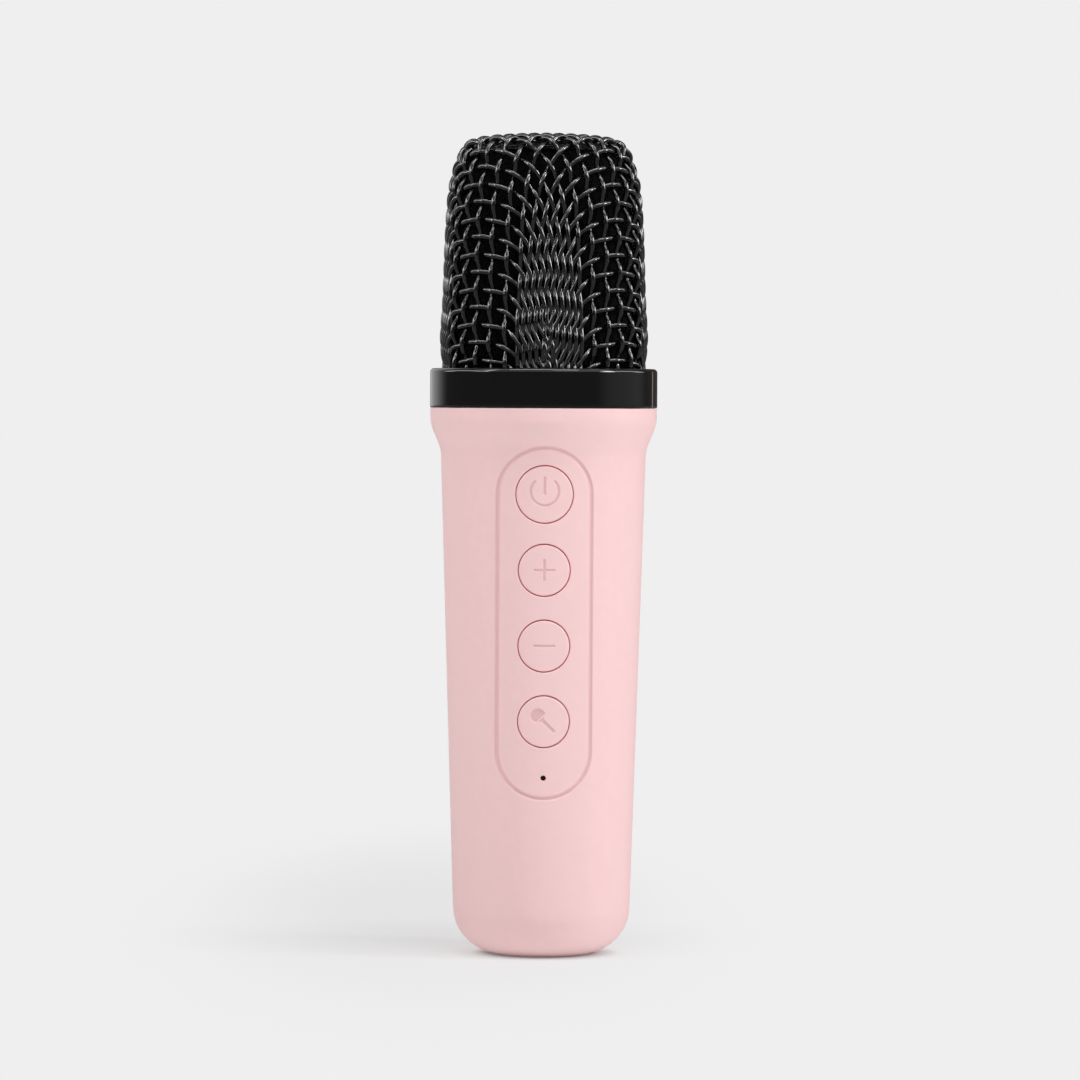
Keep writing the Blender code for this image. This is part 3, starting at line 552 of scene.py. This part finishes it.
def crossing(quarter, i, j):
    """Crossing (i, j) of the whole cloth, from the quarter that it repeats; None past the hem."""
    points, used = quarter
    turns = 0
    while i < 0 or j < 0 or (i == 0 and j > 0):
        i, j = j, -i
        turns += 1
    if max(i, j) >= len(points) or not used[i, j]:
        return None
    x, y, z = points[i, j]
    angle = math.radians(-135) + WEAVE_TURN + turns * math.pi / 2
    c, s = math.cos(angle), math.sin(angle)
    return (x * c - y * s, x * s + y * c, z)


def openness(quarter, i, j):
    """The shortest diagonal from a crossing, in pitches; small where the cells are sheared."""
    here = crossing(quarter, i, j)
    corners = [crossing(quarter, i + a, j + b) for a in (-1, 1) for b in (-1, 1)]
    return min(math.dist(here, corner) for corner in corners if corner) / WIRE_PITCH


def wire_path(shell, quarter, fixed, warp):
    """One wire's centreline, which passes over and under the wires that it crosses."""
    reach = len(quarter[0]) - 1
    cells = {n: (n, fixed) if warp else (fixed, n) for n in range(-reach, reach + 1)}
    places = {n: crossing(quarter, *cell) for n, cell in cells.items()}
    order = [n for n in cells if places[n]]
    if len(order) < 4:
        return None
    line = smooth_curve([places[n] for n in order], WIRE_STEPS)
    count = order[0] + np.arange(len(line)) / WIRE_STEPS
    line, outward = shell.settle(line)
    wave = np.cos(math.pi * (count + fixed + (1 if warp else 0)))
    wave = np.tanh(CRIMP_SQUARENESS * wave) / math.tanh(CRIMP_SQUARENESS)
    open_at = np.interp(count, order, [openness(quarter, *cells[n]) for n in order])
    crimp = JAMMED_CRIMP + (1 - JAMMED_CRIMP) * smoothstep(open_at, JAMMED_CELL, OPEN_CELL)
    line = line + (WIRE_RADIUS * crimp * wave)[:, None] * outward
    above = line[:, 2] > HEM_LOW
    if above.sum() < 4:
        return None
    return line[above], outward[above]


def make_wires(name, paths):
    """All the wires that run one way, as round closed tubes."""
    points = []
    faces = []
    start = 0
    angles = np.linspace(0, 2 * math.pi, WIRE_SIDES, endpoint=False)
    for line, outward in paths:
        along = np.gradient(line, axis=0)
        along /= np.linalg.norm(along, axis=1)[:, None]
        side = np.cross(along, outward)
        side /= np.linalg.norm(side, axis=1)[:, None]
        up = np.cross(side, along)
        ring = np.cos(angles)[None, :, None] * up[:, None] + np.sin(angles)[None, :, None] * side[:, None]
        points.append((line[:, None] + WIRE_RADIUS * ring).reshape(-1, 3))
        for k in range(len(line) - 1):
            faces += strip(start + k * WIRE_SIDES, start + (k + 1) * WIRE_SIDES, WIRE_SIDES)
        faces.append(list(range(start, start + WIRE_SIDES)))
        start += len(line) * WIRE_SIDES
        faces.append(list(range(start - WIRE_SIDES, start)))
    return piece(name, np.concatenate(points), faces, FINISHES["wire_cloth"])


def make_grille():
    shell = Shell(CLOTH_MID)
    points, used = drawn_quarter(shell)
    quarter = relieved(shell, points, used), used
    reach = len(quarter[0]) - 1
    for name, warp in (("grille_warp_wires", True), ("grille_weft_wires", False)):
        paths = [wire_path(shell, quarter, fixed, warp) for fixed in range(-reach, reach + 1)]
        wires = make_wires(name, [path for path in paths if path])
        place(wires, BODY, "grille_mesh")


def make_crown_disc():
    """Glossy disc that backs the crown's wires, its rim turned down over the foam."""
    depth = CLOTH_BACK + CROWN_DISC_GAP
    top = [row for row in Shell(depth).rows[::6] if row[1] > CROWN_DISC_LOW]
    under = [row for row in Shell(depth + CROWN_DISC_THICK).rows[::6] if row[1] > CROWN_DISC_LOW]
    disc = turned("crown_disc_gloss", [*top, *under[::-1]], FINISHES["crown_gloss"], 96, closed=False)
    place(disc, BODY, "crown_disc")


def make_foam():
    """Foam liner, a cup that stands a little behind the wires."""
    depth = CLOTH_BACK + FOAM_GAP
    bottom = span("foam_windscreen")[0][2]
    outer = [row for row in Shell(depth).rows[::5] if row[1] > bottom]
    inner = [row for row in Shell(depth + FOAM_THICK).rows[::5] if row[1] > bottom]
    outline = [*outer, (outer[-1][0], bottom), (inner[-1][0], bottom), *inner[::-1]]
    foam = turned("foam_liner", outline, FINISHES["foam"], 120, closed=False)
    place(foam, BODY, "foam_windscreen")


def make_battery_pad():
    """Foam pad under the cell, its edges rounded by the squeeze."""
    low, high = span("battery_pad")
    bm = bmesh.new()
    bmesh.ops.create_cube(bm, size=1.0)
    size = [(b - a) * MM for a, b in zip(low, high)]
    centre = [(a + b) / 2 * MM for a, b in zip(low, high)]
    bmesh.ops.scale(bm, vec=size, verts=bm.verts)
    bmesh.ops.translate(bm, vec=centre, verts=bm.verts)
    bmesh.ops.bevel(bm, geom=bm.edges, offset=min(size) * 0.3, segments=4, affect="EDGES", profile=0.5)
    mesh = bpy.data.meshes.new("battery_pad_foam")
    bm.to_mesh(mesh)
    bm.free()
    mesh.shade_smooth()
    mesh.materials.append(FINISHES["pad_foam"])
    pad = bpy.data.objects.new("battery_pad_foam", mesh)
    bpy.context.scene.collection.objects.link(pad)
    place(pad, BODY, "battery_pad")


def make_collar():
    """Gloss ring, let down onto the handle so that its lower joint closes."""
    low = HANDLE_TOP + COLLAR_JOINT
    top_centre = (COLLAR_RADIUS - COLLAR_TOP_ROUND, COLLAR_TOP - COLLAR_TOP_ROUND)
    pocket_centre = (COLLAR_POCKET_RADIUS + COLLAR_POCKET_ROUND, COLLAR_TOP - COLLAR_POCKET_ROUND)
    outline = [
        (NECK_SEAT_RADIUS, low),
        (COLLAR_RADIUS - 2 * COLLAR_LOW_ROUND, low),
        *arc((COLLAR_RADIUS - COLLAR_LOW_ROUND, low + COLLAR_LOW_ROUND), COLLAR_LOW_ROUND, -90, 0, 6),
        (COLLAR_RADIUS, low + 2 * COLLAR_LOW_ROUND),
        (COLLAR_RADIUS, COLLAR_TOP - COLLAR_TOP_ROUND - COLLAR_LOW_ROUND),
        *arc(top_centre, COLLAR_TOP_ROUND, 0, 90, 12),
        *arc(pocket_centre, COLLAR_POCKET_ROUND, 90, 180, 5),
        (COLLAR_POCKET_RADIUS, COLLAR_POCKET_LOW),
        (NECK_SEAT_RADIUS, COLLAR_POCKET_LOW),
    ]
    collar = turned("collar_gloss_ring", outline, FINISHES["collar_gloss"], 240, 40)
    place(collar, BODY, "collar_ring")


# ---------------------------------------------------------------- handle


def cone_radius(z):
    return CONE_RADIUS_AT_BASE + CONE_SLOPE * z


def handle_radius(z):
    """Outer radius of the handle above its rounded base."""
    return cone_radius(z) + FLARE_STEP * smoothstep(z, FLARE_LOW, FLARE_HIGH)


def bore_radius(z):
    """Inner radius of the handle above its rounded floor."""
    return np.where(np.asarray(z) < NECK_SEAT_LOW, cone_radius(z) - WALL, NECK_SEAT_RADIUS)


def groove_distance(x, z):
    """Distance from the groove's centreline, which is a stadium."""
    over = np.clip(z, GROOVE_LOW_CENTRE, HEIGHTS["power"])
    return np.abs(np.hypot(x, z - over) - GROOVE_HALF_WIDTH)


def groove_share(x, z):
    """1 on the groove's bottom, 0 beside it."""
    return smoothstep(GROOVE_REACH - groove_distance(x, z), 0, GROOVE_SLOPE)


def handle_recess(x, y, z):
    """Recess of the skin, which the finish turns into painted shade: a share of it in the groove, and 2 on
    the walls of the holes, where a red glow is painted too.
    """
    deep = (handle_radius(z) - np.hypot(x, y) > 2 * RIM_ROUND) & (z > PATCH_LOW) & (y < 0)
    return np.where(deep, 2, np.where((y < 0) & (z > PATCH_LOW), GROOVE_PAINTED_SHADE * groove_share(x, z), 0))


def rounding(distance, radius):
    """How far a rounded edge has dropped at this distance from the wall that it runs into."""
    t = np.clip(radius - distance, 0, radius)
    return radius - np.sqrt(radius**2 - t**2)


def rim_round(radius):
    """Rounding of the edge of a hole of this radius."""
    return min(RIM_ROUND, 0.4 * radius)


def front_depth(x, z):
    """How far the skin lies under the plain turned shape: the groove and the holes' edges."""
    depth = GROOVE_DEPTH * groove_share(x, z)
    for centre, radius in FRONT_HOLES:
        away = np.maximum(np.hypot(x, z - centre) - radius, 0)
        depth = depth + rounding(away, rim_round(radius))
    return depth


def groove_points():
    """Points on curves beside the groove's centreline."""
    top = HEIGHTS["power"]
    straight = np.arange(GROOVE_LOW_CENTRE, top, 0.7)
    turn = np.radians(np.linspace(0, 180, 48))
    points = []
    for offset in np.linspace(-GROOVE_SPREAD, GROOVE_SPREAD, 17):
        reach = GROOVE_HALF_WIDTH + offset
        for side in (-1, 1):
            points += [(side * reach, z) for z in straight[1:-1]]
        points += [(reach * math.cos(a), top + reach * math.sin(a)) for a in turn]
        points += [(reach * math.cos(a), GROOVE_LOW_CENTRE - reach * math.sin(a)) for a in turn]
    return points


def ring_points(radius, sides):
    angles = np.linspace(0, 2 * math.pi, sides, endpoint=False)
    return np.stack([radius * np.cos(angles), radius * np.sin(angles)], 1)


def hole_sides(radius):
    return 128 if radius > 1 else 32


def patch(radius_at, columns, rows, detailed):
    """The front of a skin as a triangulated sheet with its holes."""
    flat = []
    for row in rows:
        for column in columns:
            x = radius_at(row) * math.sin(column)
            on_edge = row in (rows[0], rows[-1]) or column in (columns[0], columns[-1])
            off_holes = all(
                math.hypot(x, row - centre) > radius + HOLE_CLEARANCE for centre, radius in FRONT_HOLES
            )
            off_groove = not detailed or groove_distance(x, row) >= GROOVE_CLEARANCE
            if on_edge or (off_holes and off_groove):
                flat.append((column, row))
    extra = groove_points() if detailed else []
    offsets = (0, 0.1, 0.25, 0.5, 0.75, 1.0, 1.5, 2.6) if detailed else (0, 2.6)
    for centre, radius in FRONT_HOLES:
        for offset in offsets:
            for x, z in ring_points(radius + offset * rim_round(radius), hole_sides(radius)):
                extra.append((x, centre + z))
    flat += [(math.asin(x / radius_at(z)), z) for x, z in extra]
    scale = float(radius_at(rows[0]))
    flat_points = [Vector((column * scale, row)) for column, row in flat]
    verts, _edges, faces, *_ids = delaunay_2d_cdt(flat_points, [], [], 0, 1e-5)
    verts = np.array([tuple(v) for v in verts])
    azimuth = verts[:, 0] / scale
    height = verts[:, 1]
    x = radius_at(height) * np.sin(azimuth)
    kept = []
    for face in faces:
        mid_x = x[face].mean()
        mid_z = height[face].mean()
        away = [math.hypot(mid_x, mid_z - centre) / radius for centre, radius in FRONT_HOLES]
        if min(away) > INSIDE_HOLE:
            kept.append(tuple(face))
    radius = radius_at(height)
    if detailed:
        radius = radius - front_depth(x, height)
    points = np.stack([radius * np.sin(azimuth), -radius * np.cos(azimuth), height], 1)
    return points, kept


def base_sheet(flat_radius, height, columns, inward):
    """The flat end of a skin, a disc with the charging slot; inward is where its edge rounds to."""
    points = [(flat_radius * math.sin(a), -flat_radius * math.cos(a)) for a in columns]
    for part in (0.85, 0.72):
        points += [tuple(p) for p in ring_points(part * flat_radius, 96)]
    for offset in (0.0, 0.06, 0.12, 0.2, 0.5, 1.0):
        points += slot_outline(offset)
    verts, _edges, faces, *_ids = delaunay_2d_cdt([Vector(p) for p in points], [], [], 0, 1e-5)
    verts = np.array([tuple(v) for v in verts])
    away = np.hypot(np.maximum(abs(verts[:, 0]) - USB_SLOT_STRAIGHT, 0), verts[:, 1]) - USB_SLOT_END_RADIUS
    kept = []
    for face in faces:
        mid = verts[face].mean(0)
        if math.hypot(max(abs(mid[0]) - USB_SLOT_STRAIGHT, 0), mid[1]) > USB_SLOT_END_RADIUS * INSIDE_HOLE:
            kept.append(tuple(face))
    lift = inward * rounding(np.maximum(away, 0), USB_SLOT_ROUND)
    return np.column_stack([verts, height + lift]), kept


def slot_outline(offset):
    """The charging slot's outline, moved outwards."""
    right = arc((USB_SLOT_STRAIGHT, 0.0), USB_SLOT_END_RADIUS + offset, -90, 90, 24)
    left = arc((-USB_SLOT_STRAIGHT, 0.0), USB_SLOT_END_RADIUS + offset, 90, 270, 24)
    return [tuple(p) for p in np.vstack([right, left])]


def skin(radius_at, foot, top_rows, detailed):
    """One side of the handle's wall: turned rows with the front patch let in."""
    rows = np.linspace(PATCH_LOW, PATCH_HIGH, 96)
    front = np.linspace(-PATCH_AZIMUTH, PATCH_AZIMUTH, 33)
    back = np.linspace(PATCH_AZIMUTH, 2 * math.pi - PATCH_AZIMUTH, 81)[1:-1]
    columns = np.concatenate([front, back])
    low_rows = [(float(radius_at(z)), z) for z in np.linspace(foot[-1][1], PATCH_LOW, 12)[1:-1]]
    outline = [*foot, *low_rows, *[(float(radius_at(z)), z) for z in rows], *top_rows]
    first_patch = len(foot) + len(low_rows)
    last_patch = first_patch + len(rows) - 1
    count = len(columns)
    points = []
    faces = []
    for k, (radius, height) in enumerate(outline):
        points += [(radius * math.sin(a), -radius * math.cos(a), height) for a in columns]
        if k == 0:
            continue
        quads = strip((k - 1) * count, k * count, count)
        if first_patch < k <= last_patch:
            quads = quads[len(front) - 1 :]
        faces += quads
    sheets = [(np.array(points), faces), patch(radius_at, front, rows, detailed)]
    return columns, outline, sheets


def joined(sheets):
    """Several sheets of points and faces as one."""
    points = []
    faces = []
    start = 0
    for sheet_points, sheet_faces in sheets:
        points.append(np.asarray(sheet_points, float))
        faces += [tuple(start + n for n in face) for face in sheet_faces]
        start += len(sheet_points)
    return np.concatenate(points), faces


def wall_between(first, second):
    """A closed strip between two loops with the same number of points."""
    return np.concatenate([first, second]), strip(0, len(first), len(first))


def make_handle():
    """The pink shell as one skin: outside, inside, base, rim and the walls of its holes."""
    tilt = math.degrees(CONE_ANGLE)
    meeting = BASE_ROUND * (1 - math.sin(CONE_ANGLE))
    flat = cone_radius(meeting) - BASE_ROUND * math.cos(CONE_ANGLE)
    foot = [tuple(p) for p in arc((flat, BASE_ROUND), BASE_ROUND, -90, -tilt, 20)]
    floor = [tuple(p) for p in arc((flat, BASE_ROUND), BASE_ROUND - WALL, -90, -tilt, 12)]
    edge_low = HANDLE_TOP - TOP_EDGE_ROUND
    flare_rows = [(float(handle_radius(z)), z) for z in np.linspace(PATCH_HIGH, edge_low, 12)[1:]]
    edge_centre = (float(handle_radius(HANDLE_TOP)) - TOP_EDGE_ROUND, edge_low)
    outer_top = flare_rows + [tuple(p) for p in arc(edge_centre, TOP_EDGE_ROUND, 0, 90, 4)][1:]
    inner_top = [(NECK_SEAT_RADIUS, z) for z in (PATCH_HIGH + 1.0, HANDLE_TOP)]
    columns, outer, sheets = skin(handle_radius, foot, outer_top, True)
    _columns, inner, inner_sheets = skin(bore_radius, floor, inner_top, False)
    sheets += inner_sheets
    sheets.append(base_sheet(flat, 0.0, columns, 1.0))
    sheets.append(base_sheet(flat, WALL, columns, 0.0))

    def loop(radius, height):
        return np.array([(radius * math.sin(a), -radius * math.cos(a), height) for a in columns])

    sheets.append(wall_between(loop(*outer[-1]), loop(*inner[-1])))
    slot = np.array(slot_outline(0.0))
    slot_ends = [np.column_stack([slot, np.full(len(slot), z)]) for z in (USB_SLOT_ROUND, WALL)]
    sheets.append(wall_between(*slot_ends))
    for centre, radius in FRONT_HOLES:
        x, z = ring_points(radius, hole_sides(radius)).T
        z = z + centre
        azimuth = np.arcsin(x / handle_radius(z))
        shrunk = handle_radius(z) - front_depth(x, z)
        outside = np.stack([shrunk * np.sin(azimuth), -shrunk * np.cos(azimuth), z], 1)
        inside = np.stack([x, -np.sqrt(bore_radius(z) ** 2 - x**2), z], 1)
        sheets.append(wall_between(outside, inside))
    handle = piece("handle_soft_touch", *joined(sheets), FINISHES["soft_touch"], 50)
    mark_recess(handle, handle_recess)
    place(handle, BODY, "handle_shell")


# ---------------------------------------------------------------- buttons


def to_segment(x, z, start, end):
    """Distance from points to a straight stroke."""
    along = np.array(end, float) - start
    t = np.clip(((x - start[0]) * along[0] + (z - start[1]) * along[1]) / (along @ along), 0, 1)
    return np.hypot(x - start[0] - t * along[0], z - start[1] - t * along[1])


def power_icon(x, z):
    """An open ring with an upright bar."""
    radius = 2.79
    lift = 0.57
    gap = math.radians(46)
    ends = [(side * radius * math.sin(gap), lift + radius * math.cos(gap)) for side in (-1, 1)]
    ring = np.abs(np.hypot(x, z - lift) - radius)
    at_ends = np.minimum(*[np.hypot(x - end[0], z - end[1]) for end in ends])
    ring = np.where(np.abs(np.arctan2(x, z - lift)) < gap, at_ends, ring)
    return np.minimum(ring, to_segment(x, z, (0, 3.3), (0, 0.15)))


def minus_icon(x, z):
    return to_segment(x, z, (-1.92, 0), (1.92, 0))


def plus_icon(x, z):
    return np.minimum(minus_icon(x, z), to_segment(x, z, (0, -1.92), (0, 1.92)))


def voice_icon(x, z):
    """A slanting hand microphone: a round head with its lower side cut flat, a neck and a bar."""
    down = ((x + 1.15) - (z - 1.17)) / math.sqrt(2)
    across = ((x + 1.15) + (z - 1.17)) / math.sqrt(2)
    head = np.maximum(np.hypot(down, across) - 1.45, down - 0.75)
    neck = np.maximum(np.abs(across) - 0.5, np.abs(down - 1.15) - 0.2)
    bar = to_segment(down, across, (1.75, 0), (4.3, 0)) - 0.36
    return np.maximum(np.minimum(np.minimum(head, neck), bar) + ICON_HALF_STROKE, 0)


ICONS = {"power": power_icon, "volume_up": plus_icon, "volume_down": minus_icon, "voice": voice_icon}


def icon_share(name, x, z):
    """1 in the strokes of a button's icon, 0 beside them; x and z start at the button's centre."""
    return smoothstep(ICON_HALF_STROKE + ICON_SOFT / 2 - ICONS[name](x, z), 0, ICON_SOFT)


def surface_y(x, z):
    """The front of the handle's plain turned shape."""
    return -np.sqrt(handle_radius(z) ** 2 - x**2)


def make_button(name):
    """A cap that follows the handle's surface, with its engraved icon, flange and stem."""
    height = HEIGHTS[name]
    stem_end = span("button_" + name)[1][1]
    cap = HOLES[name] - BUTTON_GAP
    flange = HOLES[name] + LIP
    wall_radius = cone_radius(height - flange) - WALL
    flange_y = FLANGE_CLEARANCE - math.sqrt(wall_radius**2 - flange**2)
    stem_y = flange_y + FLANGE
    radii = list(np.arange(CAP_STEP, cap - CAP_ROUND, CAP_STEP))
    drops = [0.0] * len(radii)
    for angle in np.radians(np.linspace(0, 90, 7)):
        radii.append(cap - CAP_ROUND + CAP_ROUND * math.sin(angle))
        drops.append(CAP_ROUND * (1 - math.cos(angle)))
    points = []
    for radius, drop in zip(radii, drops):
        x, z = ring_points(radius, CAP_SIDES).T
        cut = icon_share(name, x, z) * ICON_DEPTH
        y = surface_y(x, z + height) + drop + cut
        points.append(np.stack([x, y, z + height], 1))
    behind = [(cap, flange_y), (flange, flange_y), (flange, stem_y)]
    stem = [(STEM_RADIUS, stem_y), (STEM_RADIUS, stem_end)]
    for radius, y in behind + stem:
        x, z = ring_points(radius, CAP_SIDES).T
        points.append(np.stack([x, np.full(CAP_SIDES, y), z + height], 1))
    faces = [list(range(CAP_SIDES))]
    for k in range(len(points) - 1):
        faces += strip(k * CAP_SIDES, (k + 1) * CAP_SIDES, CAP_SIDES)
    faces.append(list(range((len(points) - 1) * CAP_SIDES, len(points) * CAP_SIDES)))
    button = piece("cap_" + name, np.concatenate(points), faces, FINISHES["button_soft_touch"], 50)

    # Recess of the cap, which the finish turns into painted shade: 1 in the icon's strokes, and 2 on its
    # sides in the gap, where a red glow is painted too
    def button_recess(x, y, z):
        deep = y - surface_y(np.clip(x, -cap, cap), z) > 2 * CAP_ROUND
        return np.where(deep, 2, icon_share(name, x, z - height))

    mark_recess(button, button_recess)
    place(button, "key_" + name, "button_" + name)


# ---------------------------------------------------------------- stage, light and camera

PALE = linear(239)
LOOK_HEIGHT = 83.7
CAMERA_HEIGHT = 112.0
CAMERA_DISTANCE = 1050.0
CAMERA_SIDE = -0.6
CAMERA_ROLL = math.radians(0.28)
CAMERA_AZIMUTH = math.radians(-0.8)
LENS = 172.8
FLOOR_RADIUS = 4000.0
FLOOR_BOUNCE = 1.45  # light that the floor throws on matte finishes, beside what the camera sees of it
FLOOR_MIRRORED = 0.3  # the same for its reflection in gloss
FLOOR_GREY = 0.64  # of its matte share, a little darker than the glow so that it paints a soft shadow beside the real shadow that it takes

# Where the floor is matte, a painted soft shadow round the microphone beside the real shadows that it takes:
# distances in metres over which that fades, and its largest share
SHADOW_OFFSET = (0.021, -0.021, 0)
SHADOW_STRETCH = (1, 0.28, 1)
CAST_SHADOW = (0.01, 0.075, 0.5)
CONTACT_SHADOW = (0.01, 0.019, 0.9)

# Boxes that gloss mirrors: from and to a coordinate of the direction, width of the soft edge, strength
LOW_BOX = (0.3, 0.43, 0.04, 4.5)
HIGH_BOX = (0.74, 0.92, 0.04, 3.0)
SIDE_BOX = (0.82, 0.97, 0.04, 4.5)
SIDE_BOX_HEIGHT = (0.06, 0.62, 0.06, 1.0)


def make_camera():
    data = bpy.data.cameras.new("camera")
    data.lens = LENS
    data.sensor_width = 36.0
    data.clip_end = 20.0
    camera = bpy.data.objects.new("camera", data)
    bpy.context.scene.collection.objects.link(camera)
    pitch = math.atan2(CAMERA_HEIGHT - LOOK_HEIGHT, CAMERA_DISTANCE)
    eye = Matrix.Translation(Vector((CAMERA_SIDE, -CAMERA_DISTANCE, CAMERA_HEIGHT)) * MM)
    tip = Matrix.Rotation(math.pi / 2 - pitch, 4, "X")
    aside = Matrix.Rotation(CAMERA_AZIMUTH, 4, "Z")
    camera.matrix_world = aside @ eye @ tip @ Matrix.Rotation(CAMERA_ROLL, 4, "Z")
    bpy.context.scene.camera = camera


def floor_strength(tree):
    """The floor's glow: whole for the camera, more for matte finishes, less for gloss."""
    path = tree.nodes.new("ShaderNodeLightPath")
    shares = []
    for flag, share in (("Is Diffuse Ray", FLOOR_BOUNCE), ("Is Glossy Ray", FLOOR_MIRRORED)):
        node = tree.nodes.new("ShaderNodeMath")
        node.operation = "MULTIPLY"
        node.inputs[1].default_value = share
        tree.links.new(path.outputs[flag], node.inputs[0])
        shares.append(node.outputs["Value"])
    return combine(tree, "ADD", path.outputs["Is Camera Ray"], combine(tree, "ADD", *shares))


def floor_finish():
    """Glows by itself far off; near the microphone it is matte and a little darker, a painted shadow beside
    the real shadows that it takes; clear from below.
    """
    material = bpy.data.materials.new("pale_floor")
    material.use_nodes = True
    tree = material.node_tree
    nodes = tree.nodes
    links = tree.links
    nodes.remove(nodes["Principled BSDF"])
    where = nodes.new("ShaderNodeTexCoord")
    stretched = nodes.new("ShaderNodeMapping")
    stretched.inputs["Location"].default_value = SHADOW_OFFSET
    stretched.inputs["Scale"].default_value = SHADOW_STRETCH
    links.new(where.outputs["Object"], stretched.inputs["Vector"])

    def fading(vector, start, end, share):
        length = nodes.new("ShaderNodeVectorMath")
        length.operation = "LENGTH"
        links.new(vector, length.inputs[0])
        return ramp(tree, length.outputs["Value"], start, end, share, 0)

    cast = fading(stretched.outputs["Vector"], *CAST_SHADOW)
    contact = fading(where.outputs["Object"], *CONTACT_SHADOW)
    glow = nodes.new("ShaderNodeEmission")
    glow.inputs["Color"].default_value = (PALE, PALE, PALE, 1)
    links.new(floor_strength(tree), glow.inputs["Strength"])
    matte = nodes.new("ShaderNodeBsdfDiffuse")
    matte.inputs["Color"].default_value = (FLOOR_GREY, FLOOR_GREY, FLOOR_GREY, 1)
    matte_share = combine(tree, "MAXIMUM", cast, contact)
    top = mixed(tree, matte_share, glow.outputs["Emission"], matte.outputs["BSDF"])
    facing = nodes.new("ShaderNodeNewGeometry")
    clear = nodes.new("ShaderNodeBsdfTransparent")
    both_sides = mixed(tree, facing.outputs["Backfacing"], top, clear.outputs["BSDF"])
    links.new(both_sides, nodes["Material Output"].inputs["Surface"])
    return material


def make_floor():
    points = np.column_stack([ring_points(FLOOR_RADIUS * MM, 96), np.zeros(96)])
    mesh = bpy.data.meshes.new("floor")
    mesh.from_pydata(points.tolist(), [], [list(range(len(points)))])
    mesh.materials.append(floor_finish())
    floor = bpy.data.objects.new("floor", mesh)
    bpy.context.scene.collection.objects.link(floor)


def make_world():
    """A pale studio: even for the camera, soft for matte finishes, dark with bright boxes for gloss."""
    world = bpy.data.worlds.new("studio")
    bpy.context.scene.world = world
    world.use_nodes = True
    tree = world.node_tree
    seen = tree.nodes["Background"]
    seen.inputs["Color"].default_value = (PALE, PALE, PALE, 1)
    direction = tree.nodes.new("ShaderNodeTexCoord")
    parts = tree.nodes.new("ShaderNodeSeparateXYZ")
    tree.links.new(direction.outputs["Generated"], parts.inputs["Vector"])
    across, along, up = (parts.outputs[axis] for axis in "XYZ")
    aside = tree.nodes.new("ShaderNodeMath")
    aside.operation = "ABSOLUTE"
    tree.links.new(across, aside.inputs[0])

    def times(first, second):
        return combine(tree, "MULTIPLY", first, second)

    def plus(first, second):
        return combine(tree, "ADD", first, second)

    def band(output, low, high, edge, strength):
        """Bright between two values of a direction's coordinate, with soft edges."""
        rise = ramp(tree, output, low, low + edge, 0.0, strength)
        return times(rise, ramp(tree, output, high - edge, high, 1.0, 0.0))

    behind = ramp(tree, along, 0.4, 0.82, 0.0, 1.0)
    back_left = times(behind, ramp(tree, across, -0.3, -0.02, 1.0, 0.0))
    overhead = ramp(tree, up, 0.2, 0.9, 0.08, 0.78)
    below = ramp(tree, up, -0.3, 0.0, 0.8, 0.0)
    soft = plus(plus(overhead, below), back_left)

    in_front = ramp(tree, along, 0.0, 0.3, 1.0, 0.0)
    front_boxes = times(plus(band(up, *LOW_BOX), band(up, *HIGH_BOX)), in_front)
    side_boxes = times(band(aside.outputs["Value"], *SIDE_BOX), band(up, *SIDE_BOX_HEIGHT))
    right_glow = ramp(tree, across, 0.8, 0.98, 0.0, 0.3)
    boxes = plus(plus(front_boxes, side_boxes), plus(back_left, right_glow))
    mirrored = plus(ramp(tree, up, 0.2, 0.9, 0.1, 0.3), boxes)

    path = tree.nodes.new("ShaderNodeLightPath")
    shader = seen.outputs["Background"]
    for flag, strength in (("Is Diffuse Ray", soft), ("Is Glossy Ray", mirrored)):
        light = tree.nodes.new("ShaderNodeBackground")
        tree.links.new(strength, light.inputs["Strength"])
        shader = mixed(tree, path.outputs[flag], shader, light.outputs["Background"])
    tree.links.new(shader, tree.nodes["World Output"].inputs["Surface"])


def make_softbox(name, place_at, width, depth, power, target=(0, 0, 90), colour=(1, 1, 1)):
    data = bpy.data.lights.new(name, "AREA")
    data.shape = "RECTANGLE"
    data.size = width * MM
    data.size_y = depth * MM
    data.energy = power
    data.color = colour
    light = bpy.data.objects.new(name, data)
    light.location = Vector(place_at) * MM
    aim = (Vector(target) - Vector(place_at)).normalized()
    light.rotation_euler = aim.to_track_quat("-Z", "Y").to_euler()
    bpy.context.scene.collection.objects.link(light)


def make_lights():
    make_softbox("key_right", (1450, -500, 800), 350, 600, 10.5)
    make_softbox("key_front", (480, -1030, 1130), 600, 600, 2.5)
    make_softbox("strip_left", (-1150, -600, 900), 120, 900, 4)
    make_softbox("strip_top", (0, -350, 1500), 1200, 160, 9)
    make_softbox("warm_card_right", (1300, 1800, 110), 120, 700, 0.25, colour=(1.0, 0.72, 0.5))


make_grille()
make_crown_disc()
make_foam()
make_battery_pad()
make_collar()
make_handle()
for button_name in HOLES:
    make_button(button_name)
dress_packed_nodes()
make_camera()
make_floor()
make_world()
make_lights()
bpy.context.scene.view_settings.view_transform = "Standard"
